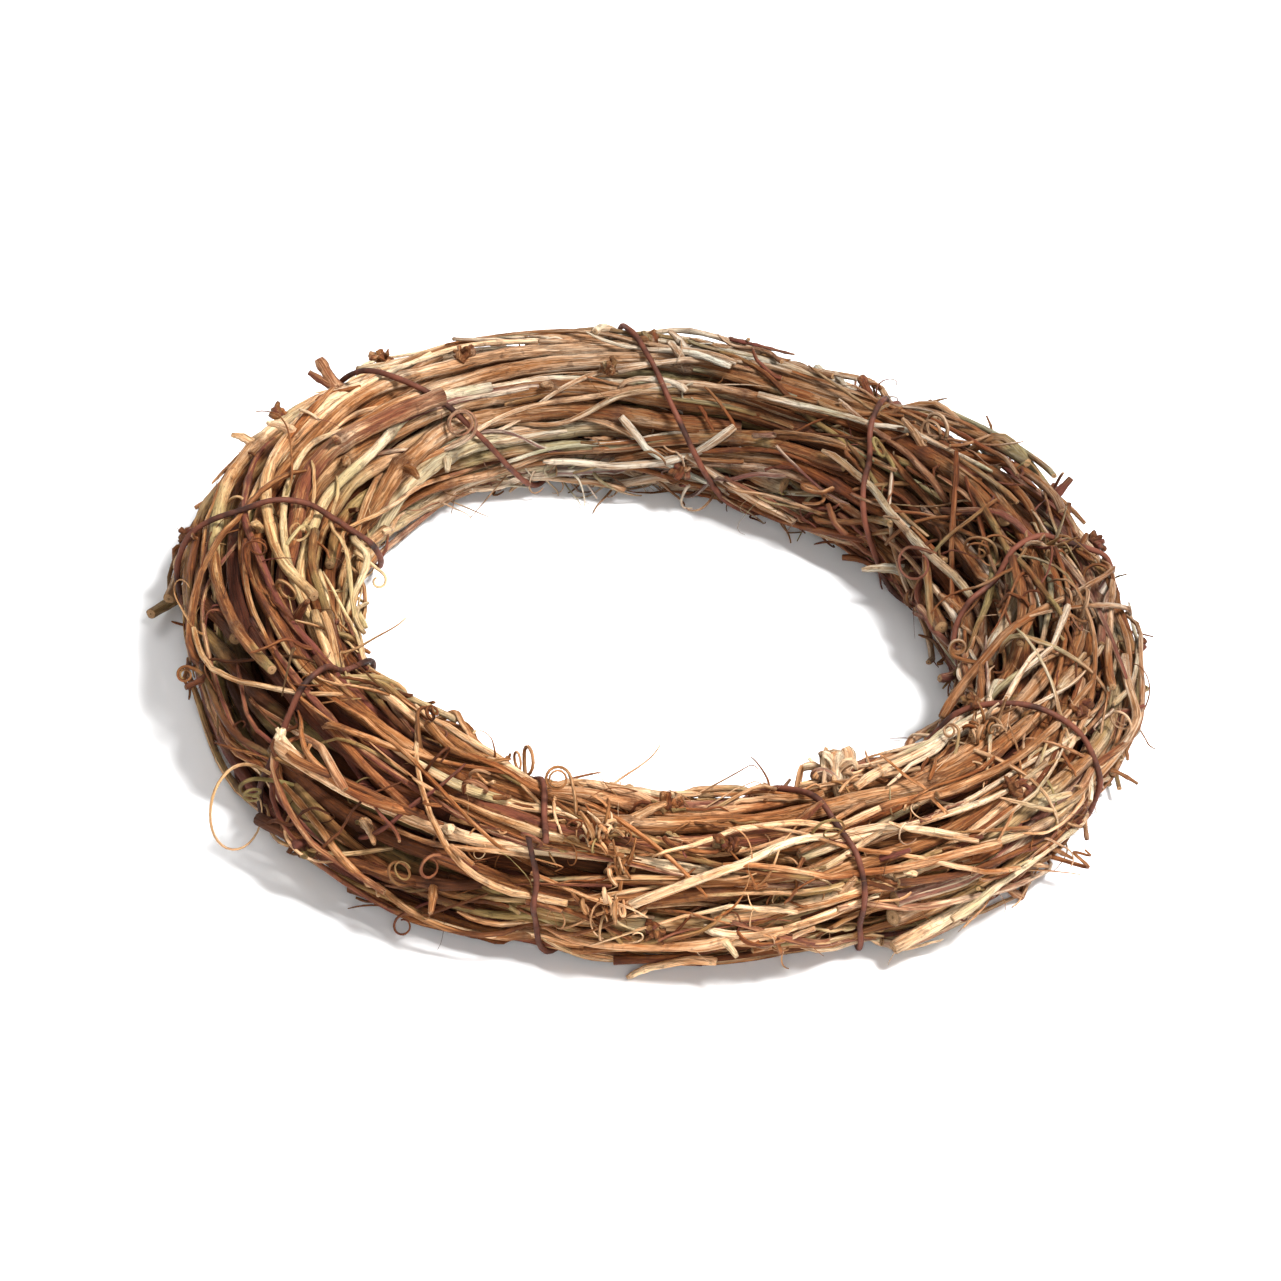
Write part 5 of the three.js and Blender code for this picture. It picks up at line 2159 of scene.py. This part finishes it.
    def trimmings(self, strands: list[Strand]) -> None:
        """Makes the small things on the bundle.

        Args:
            strands: The stems' centrelines.
        """
        small = Trimmings(strands, Tie.of(self.wreath), self.rng)
        thin, twig, cane = self.finishes.thin, self.finishes.twig, self.finishes.cane
        laid = {"hue": (0, 0.95), "section": Section(7, (0.06, 0.05)), "cut": (0.8, 0.5)}
        ragged = Section(6, (0.2, 0.15))
        for name, make, finish, batch in (
            ("laid_twigs", small.laid_twigs, twig,
             Batch(170, 20, (10, 44), (0.36, 0.74), (0.45, 1.08), spread=0.25, **laid)),
            ("laid_twiglets", small.laid_twigs, thin,
             Batch(200, 20, (4, 18), (0.18, 0.4), (0.1, 1.0), spread=0.6, **laid)),
            ("curly_tendrils", small.curls, thin,
             Batch(44, 34, (1.5, 6.0), (0.2, 0.36), (0.1, 0.85), bend=(0.9, 2.3), coil=(0.9, 2.1))),
            ("loose_wisps", small.wisps, thin, Batch(50, 22, (6, 18), (0.14, 0.27), bend=(0.6, 3.4))),
            ("curly_bits", small.wisps, thin,
             Batch(280, 15, (3, 8), (0.12, 0.24), bend=(1.5, 6.0), section=Section(4, ()))),
            ("hanging_fringe", small.fringe, thin,
             Batch(260, 14, (3, 9), (0.12, 0.3), bend=(0.4, 4.5), dark=0.4)),
            ("broken_shoots", small.shoots, twig,
             Batch(85, 9, (1.6, 5.0), (0.22, 0.5), (0.1, 0.9), section=Section(7, (0.08, 0.06)),
                   cut=(0, 0.35))),
            ("tangled_twigs", small.tangle, thin,
             Batch(170, 15, (4, 14), (0.15, 0.36), (0, 0.75), cut=(0.2, 0.3))),
            ("torn_knobs", small.clumps, twig,
             Batch(24, 11, (0.9, 2.4), (0.34, 0.75), (0, 0.4), (0.1, 1.0), ragged, bend=(-2.6, 2.6), dark=0.3,
                   spread=0.5, bits=12, places=TORN)),
            ("frayed_stump", small.clumps, twig,
             Batch(2, 11, (2.6, 5.6), (0.6, 1.1), (0.8, 1.15), (0.1, 1.0), Section(6, (0.2, 0.15), 0.45),
                   bend=(-4.6, 4.6), spread=0.6, bits=16, places=STUMP)),
            ("curled_clumps", small.clumps, thin,
             Batch(6, 11, (3, 7.5), (0.16, 0.34), (0.4, 1.05), (0.1, 0.6), ragged, bend=(-6.0, 6.0),
                   spread=1.2, bits=16, places=CLUMPS)),
            ("peeling_bark", small.peel, cane,
             Batch(240, 14, (8, 26), (0.3, 0.7), (0.15, 1), section=Section(6, (), 0.22), lift=(0.3, 2.0))),
            ("fibres", small.wisps, thin,
             Batch(420, 9, (2.5, 9), (0.05, 0.1), bend=(0.3, 3.0), section=Section(3, ()))),
        ):
            self.show(make(batch), name, finish)


@dataclass(frozen=True)
class Studio:
    """The floor, the lights and the camera, in metres."""

    target: tuple[float, float, float] = (0.0, 0.0, 0.0085)  # what the camera looks at
    distance: float = 0.85  # from the target to the camera
    elevation: float = math.radians(37.6)  # the camera's angle above the horizon
    roll: float = math.radians(7)  # how far it is turned about its own axis
    lens: float = 173.0  # its focal length, in millimetres
    sensor: float = 36.0  # its sensor's width, in millimetres
    floor_half: float = 4.0  # half the floor's width
    floor_shade: float = 0.9  # how pale the floor is
    air: float = 0.3  # how strong the soft light from all sides is
    # For each lamp its name, its place, its width and its power.
    lamps: tuple[tuple, ...] = (
        ("key light", (0.34, -0.16, 0.86), 0.24, 20.5),
        ("front light", (0.05, -0.85, 0.50), 0.4, 4.8),
        ("rim light", (-0.45, 0.55, 0.55), 0.4, 2.5),
    )

    def build(self) -> None:
        """Makes the floor, the lights and the camera."""
        self.floor()
        self.world()
        self.light()
        self.camera()

    def floor(self) -> None:
        """Makes the plain pale floor."""
        mesh = bpy.data.meshes.new("floor")
        low, high = -self.floor_half, self.floor_half
        mesh.from_pydata([(low, low, 0), (high, low, 0), (high, high, 0), (low, high, 0)], [], [(0, 1, 2, 3)])
        material = bpy.data.materials.new("pale floor")
        material.use_nodes = True
        shader = material.node_tree.nodes["Principled BSDF"]
        shader.inputs["Base Color"].default_value = (*[self.floor_shade] * 3, 1)
        shader.inputs["Roughness"].default_value = 0.9
        shader.inputs["Specular IOR Level"].default_value = 0.1
        mesh.materials.append(material)
        floor = bpy.data.objects.new("floor", mesh)
        bpy.context.scene.collection.objects.link(floor)

    def world(self) -> None:
        """Fills the room with soft white light."""
        world = bpy.data.worlds.new("studio")
        world.use_nodes = True
        background = world.node_tree.nodes["Background"]
        background.inputs["Color"].default_value = (1, 1, 1, 1)
        background.inputs["Strength"].default_value = self.air
        bpy.context.scene.world = world
        bpy.context.scene.view_settings.view_transform = "Standard"

    def light(self) -> None:
        """Makes the lamps, soft square lights that shine on the wreath."""
        for name, place, width, power in self.lamps:
            lamp = bpy.data.lights.new(name, "AREA")
            lamp.size, lamp.energy = width, power
            thing = bpy.data.objects.new(name, lamp)
            thing.location = place
            facing = Vector(self.target) - Vector(place)
            thing.rotation_euler = facing.to_track_quat("-Z", "Y").to_euler()
            bpy.context.scene.collection.objects.link(thing)

    def camera(self) -> None:
        """Makes the camera and turns it about its own axis, so that the wreath leans as it is seen to."""
        camera = bpy.data.cameras.new("camera")
        camera.lens = self.lens
        camera.sensor_width = self.sensor
        thing = bpy.data.objects.new("camera", camera)
        back = Vector((0, -math.cos(self.elevation), math.sin(self.elevation)))
        facing = (-back).to_track_quat("-Z", "Y").to_matrix() @ Matrix.Rotation(self.roll, 3, "Z")
        thing.rotation_euler = facing.to_euler()
        thing.location = Vector(self.target) + back * self.distance
        bpy.context.scene.collection.objects.link(thing)
        bpy.context.scene.camera = thing


def main() -> None:
    """Loads the frame, makes every piece and the studio, and writes down the sizes."""
    logging.basicConfig(level=logging.INFO, format="%(message)s")
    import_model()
    wreath = Wreath()
    wreath.build()
    log.info("the wreath has %d stems and %d things growing on them", len(wreath.stems), len(wreath.grown))
    dressed = DressedWreath(wreath, Finishes.made(), np.random.default_rng(SEED))
    strands = dressed.stems()
    dressed.binding()
    strands += dressed.thin_stems(THIN_STEMS)
    dressed.trimmings(strands)
    Studio().build()


if __name__ == "__main__":
    main()
